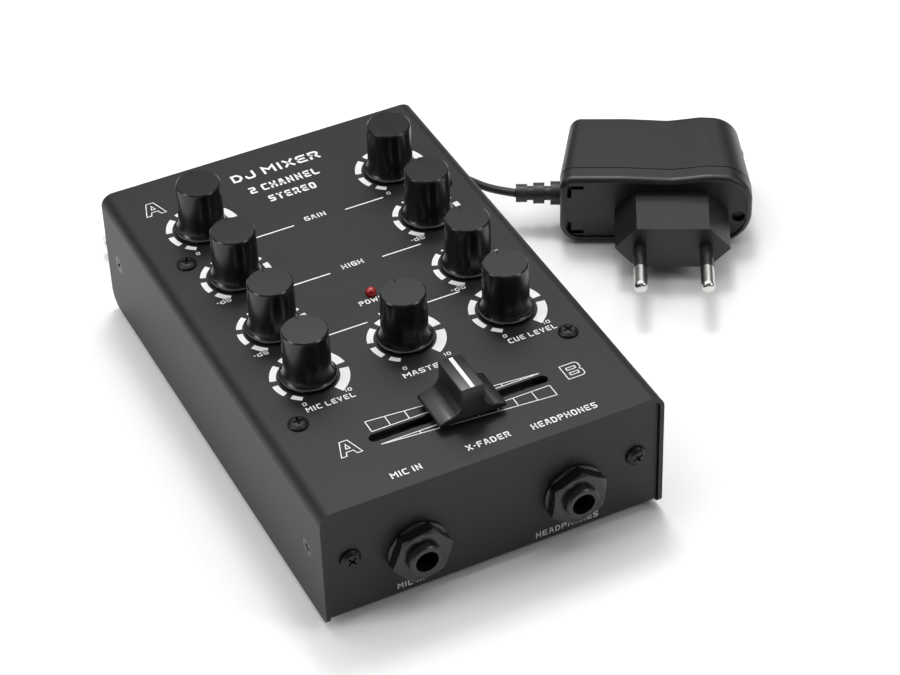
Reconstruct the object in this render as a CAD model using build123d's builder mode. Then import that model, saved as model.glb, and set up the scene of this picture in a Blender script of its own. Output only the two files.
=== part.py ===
"""A two-channel pocket DJ mixer with its wall-plug power supply.

The frame: millimetres, +Z up, +X to the right, -Y towards the side with the two
6.35 mm jacks. The origin is the centre of the mixer's footprint, on the surface
that its rubber feet stand on.
"""
from build123d import *
import os
from math import cos, pi, radians, sin

os.makedirs("parts", exist_ok=True)

# ---------------------------------------------------------------- driving sizes
# Enclosure: a folded cover over a folded chassis, on four rubber feet
case_width = 97.0
case_depth = 148.6
case_height = 37.1
sheet = 1.2
cover_bend = 3.6
chassis_bend = 2.0
front_corner = 1.8
rear_corner = 5.0
end_recess = 0.8
panel_gap = 0.15
foot_radius = 5.0
foot_height = 2.0
foot_bevel = 0.4
foot_inset = 13.0

# M3 fasteners
screw_hole = 1.6
screw_tapped = 1.5
screw_shank = 1.46
sunk_head = 2.6
sunk_angle = 90
pan_head = 2.9
pan_height = 1.5
pan_round = 0.6
low_head = 2.75
low_height = 1.2
low_round = 0.4
cross_length = 2.9
cross_width = 0.6
cross_depth = 0.9
screw_lift = 19.3
side_screw_inset = 9.5
end_screw_inset = 7.8

# Corner brackets that tie the cover's sides to the front and rear panels
bracket_height = 14.0
bracket_leg = 13.0
bracket_sheet = 2.0

# Control layout on the top panel
column_x = 28.8
gain_y = 46.9
high_y = 22.8
low_y = -2.0
level_y = -24.2
master_y = -22.2
led_y = -1.2
top_screw_x = 38.8
top_screw_rear_y = 34.0
top_screw_front_y = -40.3

# Knobs and the potentiometers under them
knob_height = 15.2
knob_gap = 0.5
knob_radius = 6.15
knob_skirt = 7.6
knob_draft = 0.2
knob_flare = 4.6
knob_lip = 0.7
knob_bore_depth = 10.0
knob_rim = 0.35
pointer_length = 1.7
pointer_width = 0.5
pointer_depth = 0.35
shaft_radius = 3.0
shaft_flat = 1.5
fit = 0.04
pot_size = 9.6
pot_depth = 11.4
pot_height = 6.6
pot_floor = 2.2
pot_bush = 3.5
pot_hole = 3.8

# Main board, hung from the top panel on hexagonal standoffs
board_drop = 9.4
board_sheet = 1.6
board_width = 88.0
board_front_gap = 5.0
board_rear_y = 56.0
standoff_flats = 5.5

# Crossfader
fader_y = -54.0
fader_travel = 45.0
slot_width = 3.0
slot_spare = 1.3
lever_width = 4.5
lever_thick = 1.7
lever_bite = 6.0
fader_frame_width = 10.0
fader_frame_height = 7.8
fader_sheet = 0.8
rail_radius = 0.8
rail_spacing = 5.0
carriage_length = 7.0
carriage_height = 3.2
cap_width = 18.9
cap_length = 13.4
cap_height = 11.6
cap_lift = 1.7
cap_ridge = 6.6
cap_scoop = 3.6
cap_slope = 0.8
cap_edge = 1.2
fader_rest = 0.8
carriage_slack = 1.0

# 6.35 mm jacks
jack_x = 22.3
jack_lift = 14.8
jack_bore = 3.2
jack_bore_depth = 30.0
jack_thread = 4.75
jack_reach = 6.0
jack_width = 16.0
jack_tall = 15.0
jack_body_depth = 24.0
nut_flats = 15.0
nut_height = 3.0
nut_flange = 8.5
nut_flange_height = 1.0
moulded_edge = 0.4
body_edge = 1.0
tag_rows = (0.35, 0.6, 0.85)
tag_spread = 5.0
hex_sides = 6
tag_thick = 0.8
tag_wide = 1.6

# Power light
led_radius = 1.5
led_dome = 2.1
led_rim = 1.95
led_rim_height = 1.0
led_pitch = 2.54
led_leg = 0.5

# Rear sockets
phono_pitch = 14.0
phono_lift = 11.0
phono_x = (-28.0, -6.0, 16.0)
phono_shell = 4.15
phono_wall = 0.45
phono_reach = 6.0
phono_pin_hole = 1.6
phono_body_width = 11.0
phono_body_depth = 10.0
switch_x = (-17.5, 5.2)
switch_travel = 2.5
switch_height = 12.0
switch_width = 6.0
switch_depth = 5.5
switch_wall = 0.9
nub_height = 4.0
nub_width = 2.6
nub_reach = 2.4
slider_gap = 0.16
rear_board_gap = 2.0
rear_board_spare = 1.0
rear_window_gap = 0.5
inlet_x = 28.0
inlet_lift = 9.5
inlet_bore = 3.1
inlet_collar = 4.0
inlet_pin = 1.0
inlet_size = 9.0
inlet_tall = 11.0
inlet_depth = 14.0
inlet_pin_length = 9.0

# Wall-plug power supply, lying on the same surface
adapter_x = 98.7
adapter_y = 7.5
adapter_turn = -28.4
adapter_width = 56.0
adapter_height = 24.6
adapter_middle = -4.5
adapter_front = 17.0
adapter_cap_depth = 5.8
adapter_shell_depth = 26.4
adapter_draft = 2.6
adapter_wall = 1.8
adapter_wave = 2.4
adapter_reveal = 0.35
adapter_pinch = 0.35
wave_top = ((0, 0.25), (0.34, 0.25), (0.58, 0.55), (0.77, 0), (1, 0.3))
wave_sole = ((1, 0), (0.7, 0), (0.5, 0.5), (0, 0.5))
wave_rounds = (0.42, 2, 2, 1.5, 1, 1.2, 1, 1, 0.6)
adapter_far_edge = 2.4
adapter_near_edge = 1.6
adapter_rounding = 0.16
adapter_recess = 0.6
adapter_border = 1.6
pit_inset = 3.9
pit_drop = 2.3
pit_radius = 1.9
pit_depth = 3.2
boss_radius = 2.9
adapter_screw_reach = 9.0
notch_inset = 2.7
notch_low = 4.4
notch_high = 4.2
notch_arm = 3.6
notch_width = 1.2
notch_depth = 2.4
block_width = 33.6
block_flat = 21.0
block_height = 13.7
block_drop = 0.3
prong_spacing = 19.0
prong_radius = 2.0
prong_length = 19.0
prong_sleeve = 10.0
prong_root = 4.0
prong_neck = 1.5
prong_tip_round = 1.4
block_edge = 0.5
supply_board_margin = 9.0
supply_board_depth = 19.0
supply_board_z = 4.5
transformer_width = 15.0
transformer_depth = 14.0
capacitor_radius = 3.5
capacitor_spacing = 8.6
capacitor_x = 13.0
coil_radius = 4.0
coil_x = -14.0
supply_headroom = 3.3

# Supply cord, its tied hank, strain relief and plug
cord_diameter = 2.5
relief_root = 3.5
relief_tip = 2.7
relief_core = 2.1
relief_ribs = 3
relief_rib = 3.3
relief_length = 13.5
relief_behind = 10.2
relief_drop = 0.9
cord_to_hank = [
    (66.2, 58.6, 9.75),
    (63.8, 67.0, 8.15),
    (62.8, 77.5, 4.75),
    (61.8, 87.0, 1.45),
    (60.9, 94.0, 0.15),
]
lead_to_plug = [(14.0, 106.5, 0.05), (4.0, 106.2, 0.15), (-3.5, 103.8, 1.45)]
bend_share = 0.45
hank_x = 33.0
hank_y = 96.5
hank_turns_wide = 2
hank_turns_high = 4
hank_reach = 17.8
hank_fold = 3.0
tie_width = 8.0
tie_sheet = 0.6
plug_x = -9.5
plug_y = 101.0
plug_turn = 188.0
plug_grip = 4.4
plug_grip_length = 14.0
plug_relief_length = 9.0
plug_relief_wall = 1.0
plug_step = 0.9
barrel_radius = 2.75
barrel_bore = 1.05
barrel_length = 9.5
plug_edge = 0.6

# ---------------------------------------------------------------- derived places
case_bottom = foot_height
case_top = case_bottom + case_height
ceiling = case_top - sheet
half_width = case_width / 2
half_depth = case_depth / 2
wall_inside = half_width - sheet
panel_outside = half_depth - end_recess
panel_inside = panel_outside - sheet
chassis_width = 2 * (wall_inside - panel_gap)
screw_z = case_bottom + screw_lift
side_screw_y = half_depth - side_screw_inset
end_screw_x = half_width - end_screw_inset
board_top = ceiling - board_drop
board_bottom = board_top - board_sheet
jack_z = case_bottom + jack_lift
slot_length = fader_travel + lever_width + slot_spare
controls = {
    "gain_a": (-column_x, gain_y),
    "gain_b": (column_x, gain_y),
    "high_a": (-column_x, high_y),
    "high_b": (column_x, high_y),
    "low_a": (-column_x, low_y),
    "low_b": (column_x, low_y),
    "mic_level": (-column_x, level_y),
    "cue_level": (column_x, level_y),
    "master_level": (0.0, master_y),
}
top_screws = [
    (x, y) for x in (-top_screw_x, top_screw_x) for y in (top_screw_rear_y, top_screw_front_y)
]
phono_z = [case_bottom + phono_lift, case_bottom + phono_lift + phono_pitch]
inlet_z = case_bottom + inlet_lift
switch_z = case_bottom + phono_lift + phono_pitch / 2
adapter_left = adapter_middle - adapter_width / 2
adapter_right = adapter_middle + adapter_width / 2
adapter_round = adapter_rounding * adapter_width
pit_x = adapter_right - pit_inset
pit_z = adapter_height / 2 - pit_drop
block_axis = adapter_height / 2 - block_drop
relief_axis = adapter_height / 2 - relief_drop


def save(part, name):
    """Label a finished piece and write it as its own STEP file."""
    part.label = name
    export_step(part, f"parts/{name}.step")


def facing(x, y, z, direction):
    """A plane at a point that looks along a direction, with its own X level."""
    return Plane(origin=(x, y, z), z_dir=direction)


def front_plane(y):
    """An upright plane across the mixer, seen from the front: its X is +X, its Y is +Z."""
    return Plane(origin=(0, y, 0), x_dir=(1, 0, 0), z_dir=(0, -1, 0))


def rear_plane(y):
    """The same plane with its normal to the rear: extrusions grow towards +Y."""
    return Plane(origin=(0, y, 0), x_dir=(-1, 0, 0), z_dir=(0, 1, 0))


side_seats = [
    facing(side * half_width, end * side_screw_y, screw_z, (side, 0, 0))
    for side in (-1, 1)
    for end in (-1, 1)
]
end_seats = [
    facing(side * end_screw_x, end * panel_outside, screw_z, (0, end, 0))
    for side in (-1, 1)
    for end in (-1, 1)
]

# ---------------------------------------------------------------- enclosure
with BuildPart() as top_cover:
    with BuildSketch(Plane.XZ) as cover_profile:
        with Locations((0, case_bottom)):
            Rectangle(case_width, case_height, align=(Align.CENTER, Align.MIN))
        fillet(cover_profile.vertices().group_by(Axis.Y)[-1], cover_bend)
        with BuildSketch(mode=Mode.SUBTRACT) as cover_hollow:
            with Locations((0, case_bottom)):
                Rectangle(
                    2 * wall_inside, case_height - sheet, align=(Align.CENTER, Align.MIN)
                )
            fillet(cover_hollow.vertices().group_by(Axis.Y)[-1], cover_bend - sheet)
    extrude(amount=half_depth, both=True)
    low_corners = top_cover.edges().filter_by(Axis.X).group_by(Axis.Z)[0]
    fillet(low_corners.group_by(Axis.Y)[0], front_corner)
    low_corners = top_cover.edges().filter_by(Axis.X).group_by(Axis.Z)[0]
    fillet(low_corners.group_by(Axis.Y)[-1], rear_corner)
    with BuildSketch(Plane.XY.offset(case_top)):
        with Locations(*controls.values()):
            Circle(pot_hole)
        with Locations(*top_screws):
            Circle(screw_hole)
        with Locations((0, led_y)):
            Circle(led_radius + fit)
        with Locations((0, fader_y)):
            SlotOverall(slot_length, slot_width)
    extrude(amount=-2 * sheet, mode=Mode.SUBTRACT)
    with Locations(*side_seats):
        CounterSinkHole(screw_hole, sunk_head, depth=2 * sheet, counter_sink_angle=sunk_angle)
save(top_cover.part, "top_cover")

with BuildPart() as chassis:
    panel_height = ceiling - panel_gap - case_bottom
    with BuildSketch(Plane.YZ) as chassis_profile:
        with Locations((0, case_bottom)):
            Rectangle(2 * panel_outside, panel_height, align=(Align.CENTER, Align.MIN))
        fillet(chassis_profile.vertices().group_by(Axis.Y)[0], chassis_bend)
        with BuildSketch(mode=Mode.SUBTRACT) as chassis_hollow:
            with Locations((0, case_bottom + sheet)):
                Rectangle(2 * panel_inside, panel_height, align=(Align.CENTER, Align.MIN))
            fillet(chassis_hollow.vertices().group_by(Axis.Y)[0], chassis_bend - sheet)
    extrude(amount=chassis_width / 2, both=True)
    with BuildSketch(front_plane(-panel_outside)):
        with Locations((-jack_x, jack_z), (jack_x, jack_z)):
            Circle(jack_thread + fit)
    extrude(amount=-2 * sheet, mode=Mode.SUBTRACT)
    with BuildSketch(front_plane(panel_outside)):
        for z in phono_z:
            with Locations(*[(x, z) for x in phono_x]):
                Circle(phono_shell + fit)
        with Locations(*[(x, switch_z) for x in switch_x]):
            Rectangle(nub_width + slider_gap, nub_height + switch_travel + slider_gap)
        with Locations((inlet_x, inlet_z)):
            Circle(inlet_collar + fit)
    extrude(amount=2 * sheet, mode=Mode.SUBTRACT)
    with Locations(*end_seats):
        Hole(screw_hole, depth=2 * sheet)
    fillet(chassis.edges().filter_by(Axis.Y).group_by(Axis.Z)[-1], cover_bend - sheet)
save(chassis.part, "chassis")

with BuildPart() as corner_brackets:
    for side in (-1, 1):
        for end in (-1, 1):
            with BuildSketch(Plane.XY.offset(screw_z - bracket_height / 2)):
                with Locations((side * wall_inside, end * panel_inside)):
                    Rectangle(
                        bracket_leg,
                        bracket_leg,
                        align=(
                            Align.MIN if side < 0 else Align.MAX,
                            Align.MIN if end < 0 else Align.MAX,
                        ),
                    )
                with Locations(
                    (side * (wall_inside - bracket_sheet), end * (panel_inside - bracket_sheet))
                ):
                    Rectangle(
                        bracket_leg,
                        bracket_leg,
                        align=(
                            Align.MIN if side < 0 else Align.MAX,
                            Align.MIN if end < 0 else Align.MAX,
                        ),
                        mode=Mode.SUBTRACT,
                    )
            extrude(amount=bracket_height)
    with Locations(*side_seats):
        Hole(screw_tapped, depth=sheet + 2 * bracket_sheet)
    with Locations(*end_seats):
        Hole(screw_tapped, depth=sheet + 2 * bracket_sheet)
save(corner_brackets.part, "corner_brackets")

foot_places = [
    (side * (half_width - foot_inset), end * (half_depth - foot_inset))
    for side in (-1, 1)
    for end in (-1, 1)
]
with BuildPart() as rubber_feet:
    with BuildSketch(Plane.XY):
        with Locations(*foot_places):
            Circle(foot_radius)
    extrude(amount=foot_height)
    chamfer(rubber_feet.faces().group_by(Axis.Z)[0].edges(), foot_bevel)
save(rubber_feet.part, "rubber_feet")


# ---------------------------------------------------------------- fasteners
def cross_on(seat, lift):
    """The outline of a crosshead recess on a screw head whose top is lifted off its seat."""
    with BuildSketch(seat.offset(lift)) as cross:
        Rectangle(cross_length, cross_width)
        Rectangle(cross_width, cross_length)
    return cross.sketch


with BuildPart() as side_screws:
    for seat in side_seats:
        with BuildSketch(seat):
            Circle(sunk_head - fit)
        extrude(amount=-(sunk_head - fit - screw_shank), taper=sunk_angle / 2)
        with BuildSketch(seat.offset(-fit)):
            Circle(screw_shank)
        extrude(amount=-(sheet + bracket_sheet))
        extrude(cross_on(seat, 0), amount=-cross_depth, mode=Mode.SUBTRACT)
save(side_screws.part, "side_screws")

with BuildPart() as end_screws:
    for seat in end_seats:
        with BuildSketch(seat):
            Circle(pan_head)
        extrude(amount=pan_height)
        top_rim = end_screws.edges().filter_by(GeomType.CIRCLE).sort_by_distance(
            seat.offset(pan_height).origin
        )[0]
        fillet(top_rim, pan_round * pan_height)
        with BuildSketch(seat):
            Circle(screw_shank)
        extrude(amount=-(sheet + bracket_sheet + screw_shank))
        extrude(cross_on(seat, pan_height), amount=-cross_depth, mode=Mode.SUBTRACT)
save(end_screws.part, "end_screws")

with BuildPart() as panel_screws:
    for x, y in top_screws:
        seat = Plane(origin=(x, y, case_top))
        with BuildSketch(seat):
            Circle(low_head)
        extrude(amount=low_height)
        top_rim = panel_screws.edges().filter_by(GeomType.CIRCLE).sort_by_distance(
            seat.offset(low_height).origin
        )[0]
        fillet(top_rim, low_round * low_height)
        with BuildSketch(seat):
            Circle(screw_shank)
        extrude(amount=-(sheet + board_drop / 2 - 2 * fit))
        extrude(cross_on(seat, low_height), amount=-cross_depth, mode=Mode.SUBTRACT)
save(panel_screws.part, "panel_screws")

with BuildPart() as standoffs:
    with BuildSketch(Plane.XY.offset(board_top)):
        with Locations(*top_screws):
            RegularPolygon(standoff_flats / 2, hex_sides, major_radius=False)
            Circle(screw_tapped, mode=Mode.SUBTRACT)
    extrude(amount=board_drop)
save(standoffs.part, "standoffs")

with BuildPart() as board_screws:
    for x, y in top_screws:
        seat = Plane(origin=(x, y, board_bottom), z_dir=(0, 0, -1))
        with BuildSketch(seat):
            Circle(low_head)
        extrude(amount=low_height)
        with BuildSketch(seat):
            Circle(screw_shank)
        extrude(amount=-(board_sheet + board_drop / 2 - 2 * fit))
        extrude(cross_on(seat, low_height), amount=-cross_depth, mode=Mode.SUBTRACT)
save(board_screws.part, "board_screws")

# ---------------------------------------------------------------- boards
board_front_y = -(panel_inside - board_front_gap)
with BuildPart() as main_board:
    with BuildSketch(Plane.XY.offset(board_bottom)):
        with Locations((0, (board_front_y + board_rear_y) / 2)):
            Rectangle(board_width, board_rear_y - board_front_y)
        with Locations(*top_screws):
            Circle(screw_hole, mode=Mode.SUBTRACT)
    extrude(amount=board_sheet)
save(main_board.part, "main_board")

rear_board_y = panel_inside - phono_body_depth - board_sheet
with BuildPart() as rear_board:
    with BuildSketch(Plane.XZ.offset(-rear_board_y)):
        with Locations(((phono_x[0] + inlet_x) / 2, (case_bottom + sheet + ceiling) / 2)):
            Rectangle(
                inlet_x - phono_x[0] + phono_body_width + 2 * rear_board_spare,
                ceiling - case_bottom - 2 * rear_board_gap,
            )
        with Locations((inlet_x, inlet_z)):
            Rectangle(
                inlet_size + 2 * rear_window_gap,
                inlet_tall + 2 * rear_window_gap,
                mode=Mode.SUBTRACT,
            )
    extrude(amount=-board_sheet)
save(rear_board.part, "rear_board")


# ---------------------------------------------------------------- knobs and pots
knob_base = case_top + knob_gap
knob_top = knob_base + knob_height
shaft_top = knob_base + knob_bore_depth - 2 * fit
shaft_foot = board_top + pot_floor


def d_outline(radius):
    """Draw a round section with one flat, as on a D-shaft, in the open sketch."""
    Circle(radius)
    with Locations((0, shaft_flat + radius - shaft_radius)):
        Rectangle(
            2 * radius, 2 * radius, align=(Align.CENTER, Align.MIN), mode=Mode.SUBTRACT
        )


def make_knob(name, x, y):
    """A moulded knob: drafted grip, hollow flare down to a skirt, and a notch for a pointer."""
    grip_low = knob_base + knob_flare
    with BuildPart() as knob:
        with BuildSketch(Plane(origin=(x, y, 0), x_dir=(1, 0, 0), z_dir=(0, -1, 0))):
            with BuildLine():
                rise = Polyline(
                    (0, knob_base),
                    (knob_skirt, knob_base),
                    (knob_skirt, knob_base + knob_lip),
                )
                flare = TangentArc((knob_radius + knob_draft, grip_low), rise @ 1, tangent=(0, -1))
                Polyline(flare @ 0, (knob_radius, knob_top), (0, knob_top), rise @ 0)
            make_face()
        revolve(axis=Axis((x, y, 0), (0, 0, 1)))
        rim = knob.faces().sort_by(Axis.Z)[-1].edges()
        chamfer(rim, knob_rim)
        with BuildSketch(Plane(origin=(x, y, knob_base))):
            d_outline(shaft_radius + fit)
        extrude(amount=knob_bore_depth, mode=Mode.SUBTRACT)
        with BuildSketch(Plane(origin=(x, y, knob_top))):
            with Locations((0, knob_radius)):
                Rectangle(pointer_width, 2 * pointer_length)
        extrude(amount=-pointer_depth, mode=Mode.SUBTRACT)
    save(knob.part, f"knob_{name}")


def make_shaft(name, x, y):
    """The potentiometer's plastic D-shaft, from inside its body up into the knob."""
    with BuildPart() as shaft:
        with BuildSketch(Plane(origin=(x, y, shaft_foot))):
            Circle(shaft_radius)
        extrude(amount=ceiling - shaft_foot)
        with BuildSketch(Plane(origin=(x, y, ceiling))):
            d_outline(shaft_radius)
        extrude(amount=shaft_top - ceiling)
    save(shaft.part, f"shaft_{name}")


for name, (x, y) in controls.items():
    make_knob(name, x, y)
    make_shaft(name, x, y)

with BuildPart() as potentiometers:
    with BuildSketch(Plane.XY.offset(board_top)):
        with Locations(*controls.values()):
            Rectangle(pot_size, pot_depth)
    extrude(amount=pot_height)
    with BuildSketch(Plane.XY.offset(board_top + pot_height)):
        with Locations(*controls.values()):
            Circle(pot_bush)
    extrude(amount=board_drop - pot_height)
    with BuildSketch(Plane.XY.offset(shaft_foot - fit)):
        with Locations(*controls.values()):
            Circle(shaft_radius + fit)
    extrude(amount=ceiling - shaft_foot + fit, mode=Mode.SUBTRACT)
save(potentiometers.part, "potentiometers")

# ---------------------------------------------------------------- crossfader
fader_length = fader_travel + carriage_length + 2 * (fader_sheet + slot_spare)
fader_top = board_top + fader_frame_height
rail_z = board_top + fader_frame_height / 2
rail_places = [fader_y - rail_spacing / 2, fader_y + rail_spacing / 2]
with BuildPart() as fader_frame:
    with Locations((0, fader_y, board_top)):
        Box(
            fader_length,
            fader_frame_width,
            fader_frame_height,
            align=(Align.CENTER, Align.CENTER, Align.MIN),
        )
    with Locations((0, fader_y, board_top + fader_sheet)):
        Box(
            fader_length - 2 * fader_sheet,
            fader_frame_width - 2 * fader_sheet,
            fader_frame_height - 2 * fader_sheet,
            align=(Align.CENTER, Align.CENTER, Align.MIN),
            mode=Mode.SUBTRACT,
        )
    with BuildSketch(Plane.XY.offset(fader_top)):
        with Locations((0, fader_y)):
            SlotOverall(slot_length, slot_width)
    extrude(amount=-2 * fader_sheet, mode=Mode.SUBTRACT)
save(fader_frame.part, "crossfader_frame")

with BuildPart() as fader_rails:
    for rail_y in rail_places:
        with BuildSketch(Plane.YZ.offset(-(fader_length / 2 - fader_sheet))):
            with Locations((rail_y, rail_z)):
                Circle(rail_radius)
        extrude(amount=fader_length - 2 * fader_sheet)
save(fader_rails.part, "crossfader_rails")

with BuildPart() as fader_carriage:
    with Locations((fader_rest, fader_y, rail_z)):
        Box(
            carriage_length,
            fader_frame_width - 2 * fader_sheet - carriage_slack,
            carriage_height,
        )
    with BuildSketch(Plane.XY.offset(rail_z)):
        with Locations((fader_rest, fader_y)):
            Rectangle(lever_width, lever_thick)
    extrude(amount=case_top + cap_lift + lever_bite - rail_z)
    for rail_y in rail_places:
        with BuildSketch(Plane.YZ.offset(fader_rest - carriage_length)):
            with Locations((rail_y, rail_z)):
                Circle(rail_radius + fit)
        extrude(amount=2 * carriage_length, mode=Mode.SUBTRACT)
save(fader_carriage.part, "crossfader_carriage")

with BuildPart() as fader_cap:
    base = case_top + cap_lift
    crown = case_top + cap_height
    lip = base + cap_edge
    brink = lip + cap_slope
    with BuildSketch(Plane(origin=(fader_rest, fader_y, 0), x_dir=(1, 0, 0), z_dir=(0, -1, 0))):
        with BuildLine():
            foot = Polyline(
                (0, base),
                (cap_width / 2, base),
                (cap_width / 2, lip),
                (cap_ridge / 2 + cap_scoop, brink),
            )
            scoop = TangentArc((cap_ridge / 2, brink + cap_scoop), foot @ 1, tangent=(0, -1))
            Polyline(scoop @ 0, (cap_ridge / 2, crown), (0, crown))
            mirror(about=Plane.YZ)
        make_face()
    extrude(amount=cap_length / 2, both=True)
    with BuildSketch(Plane.XY.offset(base)):
        with Locations((fader_rest, fader_y)):
            Rectangle(lever_width + 2 * fit, lever_thick + 2 * fit)
    extrude(amount=lever_bite + fit, mode=Mode.SUBTRACT)
save(fader_cap.part, "crossfader_cap")

# ---------------------------------------------------------------- front jacks
def make_jack(name, x):
    """A 6.35 mm socket: moulded body, threaded neck through the panel, blind bore."""
    mouth = -(panel_outside + jack_reach)
    with BuildPart() as jack:
        with BuildSketch(front_plane(-panel_inside)) as body_outline:
            with Locations((x, jack_z)):
                Rectangle(jack_width, jack_tall)
            fillet(body_outline.vertices(), body_edge)
        extrude(amount=-jack_body_depth)
        with BuildSketch(front_plane(-panel_inside)):
            with Locations((x, jack_z)):
                Circle(jack_thread)
        extrude(amount=panel_outside + jack_reach - panel_inside)
        chamfer(jack.faces().group_by(Axis.Y)[0].edges(), moulded_edge)
        with BuildSketch(front_plane(mouth)):
            with Locations((x, jack_z)):
                Circle(jack_bore)
        extrude(amount=-jack_bore_depth, mode=Mode.SUBTRACT)
    save(jack.part, name)


make_jack("mic_jack", -jack_x)
make_jack("headphone_jack", jack_x)

jack_places = [(-jack_x, jack_z), (jack_x, jack_z)]
with BuildPart() as jack_nuts:
    with BuildSketch(front_plane(-panel_outside)):
        with Locations(*jack_places):
            Circle(nut_flange)
    extrude(amount=nut_flange_height)
    with BuildSketch(front_plane(-(panel_outside + nut_flange_height))):
        with Locations(*jack_places):
            RegularPolygon(nut_flats / 2, hex_sides, major_radius=False, rotation=30)
    extrude(amount=nut_height)
    chamfer(jack_nuts.edges().filter_by(Plane.XZ).group_by(Axis.Y)[0], moulded_edge)
    with BuildSketch(front_plane(-panel_outside)):
        with Locations(*jack_places):
            Circle(jack_thread + fit)
    extrude(amount=nut_flange_height + nut_height, mode=Mode.SUBTRACT)
save(jack_nuts.part, "jack_nuts")

contact_rows = [-(panel_inside - jack_body_depth * share) for share in tag_rows]
jack_top = jack_z + jack_tall / 2
with BuildPart() as jack_contacts:
    for row in contact_rows:
        for x in (-jack_x, jack_x):
            with Locations((x - tag_spread, row, jack_top), (x + tag_spread, row, jack_top)):
                Box(
                    tag_thick,
                    tag_wide,
                    board_bottom - jack_top,
                    align=(Align.CENTER, Align.CENTER, Align.MIN),
                )
save(jack_contacts.part, "jack_contacts")

# ---------------------------------------------------------------- power light
with BuildPart() as power_led:
    with BuildSketch(Plane(origin=(0, led_y, 0), x_dir=(1, 0, 0), z_dir=(0, -1, 0))):
        with BuildLine():
            rim_low = ceiling - led_rim_height
            shoulder = case_top + led_dome - led_radius
            sides = Polyline(
                (0, rim_low),
                (led_rim, rim_low),
                (led_rim, ceiling),
                (led_radius, ceiling),
                (led_radius, shoulder),
            )
            dome = TangentArc(sides @ 1, (0, case_top + led_dome), tangent=(0, 1))
            Line(dome @ 1, sides @ 0)
        make_face()
    revolve(axis=Axis((0, led_y, 0), (0, 0, 1)))
    with Locations((-led_pitch / 2, led_y, board_top), (led_pitch / 2, led_y, board_top)):
        Box(
            led_leg,
            led_leg,
            rim_low - board_top,
            align=(Align.CENTER, Align.CENTER, Align.MIN),
        )
save(power_led.part, "power_led")

# ---------------------------------------------------------------- rear sockets
phono_places = [(x, z) for x in phono_x for z in phono_z]
shell_length = panel_outside + phono_reach - panel_inside
with BuildPart() as phono_bodies:
    for x in phono_x:
        with Locations((x, panel_inside, (phono_z[0] + phono_z[1]) / 2)):
            Box(
                phono_body_width,
                phono_body_depth,
                phono_pitch + phono_body_width,
                align=(Align.CENTER, Align.MAX, Align.CENTER),
            )
save(phono_bodies.part, "phono_bodies")

with BuildPart() as phono_shells:
    for x, z in phono_places:
        with BuildSketch(rear_plane(panel_inside)):
            with Locations((-x, z)):
                Circle(phono_shell)
                Circle(phono_shell - phono_wall, mode=Mode.SUBTRACT)
        extrude(amount=shell_length)
save(phono_shells.part, "phono_shells")


def make_inserts(name, z):
    """The coloured insulators inside one row of phono shells, each with its centre hole."""
    with BuildPart() as inserts:
        for x in phono_x:
            with BuildSketch(rear_plane(panel_inside)):
                with Locations((-x, z)):
                    Circle(phono_shell - phono_wall)
            extrude(amount=shell_length - 1)
            with BuildSketch(rear_plane(panel_inside + shell_length)):
                with Locations((-x, z)):
                    Circle(phono_pin_hole)
            extrude(amount=-phono_reach, mode=Mode.SUBTRACT)
    save(inserts.part, name)


make_inserts("phono_inserts_right", phono_z[0])
make_inserts("phono_inserts_left", phono_z[1])

with BuildPart() as switch_bodies:
    for x in switch_x:
        with Locations((x, panel_inside, switch_z)):
            Box(
                switch_width,
                switch_depth,
                switch_height,
                align=(Align.CENTER, Align.MAX, Align.CENTER),
            )
            Box(
                switch_width - 2 * switch_wall,
                switch_depth - switch_wall,
                switch_height - 2 * switch_wall,
                align=(Align.CENTER, Align.MAX, Align.CENTER),
                mode=Mode.SUBTRACT,
            )
save(switch_bodies.part, "switch_bodies")


def make_slider(name, x):
    """A slide switch's actuator at the lower end of its travel: a foot and a nub."""
    nub_z = switch_z - switch_travel / 2
    foot_depth = switch_depth - switch_wall - slider_gap
    foot_width = switch_width - 2 * switch_wall - slider_gap
    foot_tall = switch_height - 2 * switch_wall - switch_travel - slider_gap
    with BuildPart() as slider:
        with Locations((x, panel_inside - 2 * fit, nub_z)):
            Box(foot_width, foot_depth, foot_tall, align=(Align.CENTER, Align.MAX, Align.CENTER))
        with Locations((x, panel_inside - 2 * fit, nub_z)):
            Box(
                nub_width,
                panel_outside + nub_reach - panel_inside,
                nub_height,
                align=(Align.CENTER, Align.MIN, Align.CENTER),
            )
    save(slider.part, name)


make_slider("switch_slider_a", switch_x[0])
make_slider("switch_slider_b", switch_x[1])

with BuildPart() as power_inlet:
    with Locations((inlet_x, panel_inside, inlet_z)):
        Box(
            inlet_size,
            inlet_depth,
            inlet_tall,
            align=(Align.CENTER, Align.MAX, Align.CENTER),
        )
    with BuildSketch(rear_plane(panel_inside)):
        with Locations((-inlet_x, inlet_z)):
            Circle(inlet_collar)
    extrude(amount=sheet)
    with BuildSketch(rear_plane(panel_outside)):
        with Locations((-inlet_x, inlet_z)):
            Circle(inlet_bore)
    extrude(amount=-inlet_pin_length - sheet, mode=Mode.SUBTRACT)
save(power_inlet.part, "power_inlet")

with BuildPart() as inlet_pin_part:
    with BuildSketch(rear_plane(panel_outside - inlet_pin_length - sheet)):
        with Locations((-inlet_x, inlet_z)):
            Circle(inlet_pin)
    extrude(amount=inlet_pin_length)
save(inlet_pin_part.part, "inlet_pin")

# ---------------------------------------------------------------- wall-plug power supply
along = (cos(radians(adapter_turn)), sin(radians(adapter_turn)))
back = (-along[1], along[0])


def adapter_point(x, y, z):
    """A point of the power supply, from its own axes to the mixer's."""
    return (
        adapter_x + x * along[0] + y * back[0],
        adapter_y + x * along[1] + y * back[1],
        z,
    )


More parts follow.
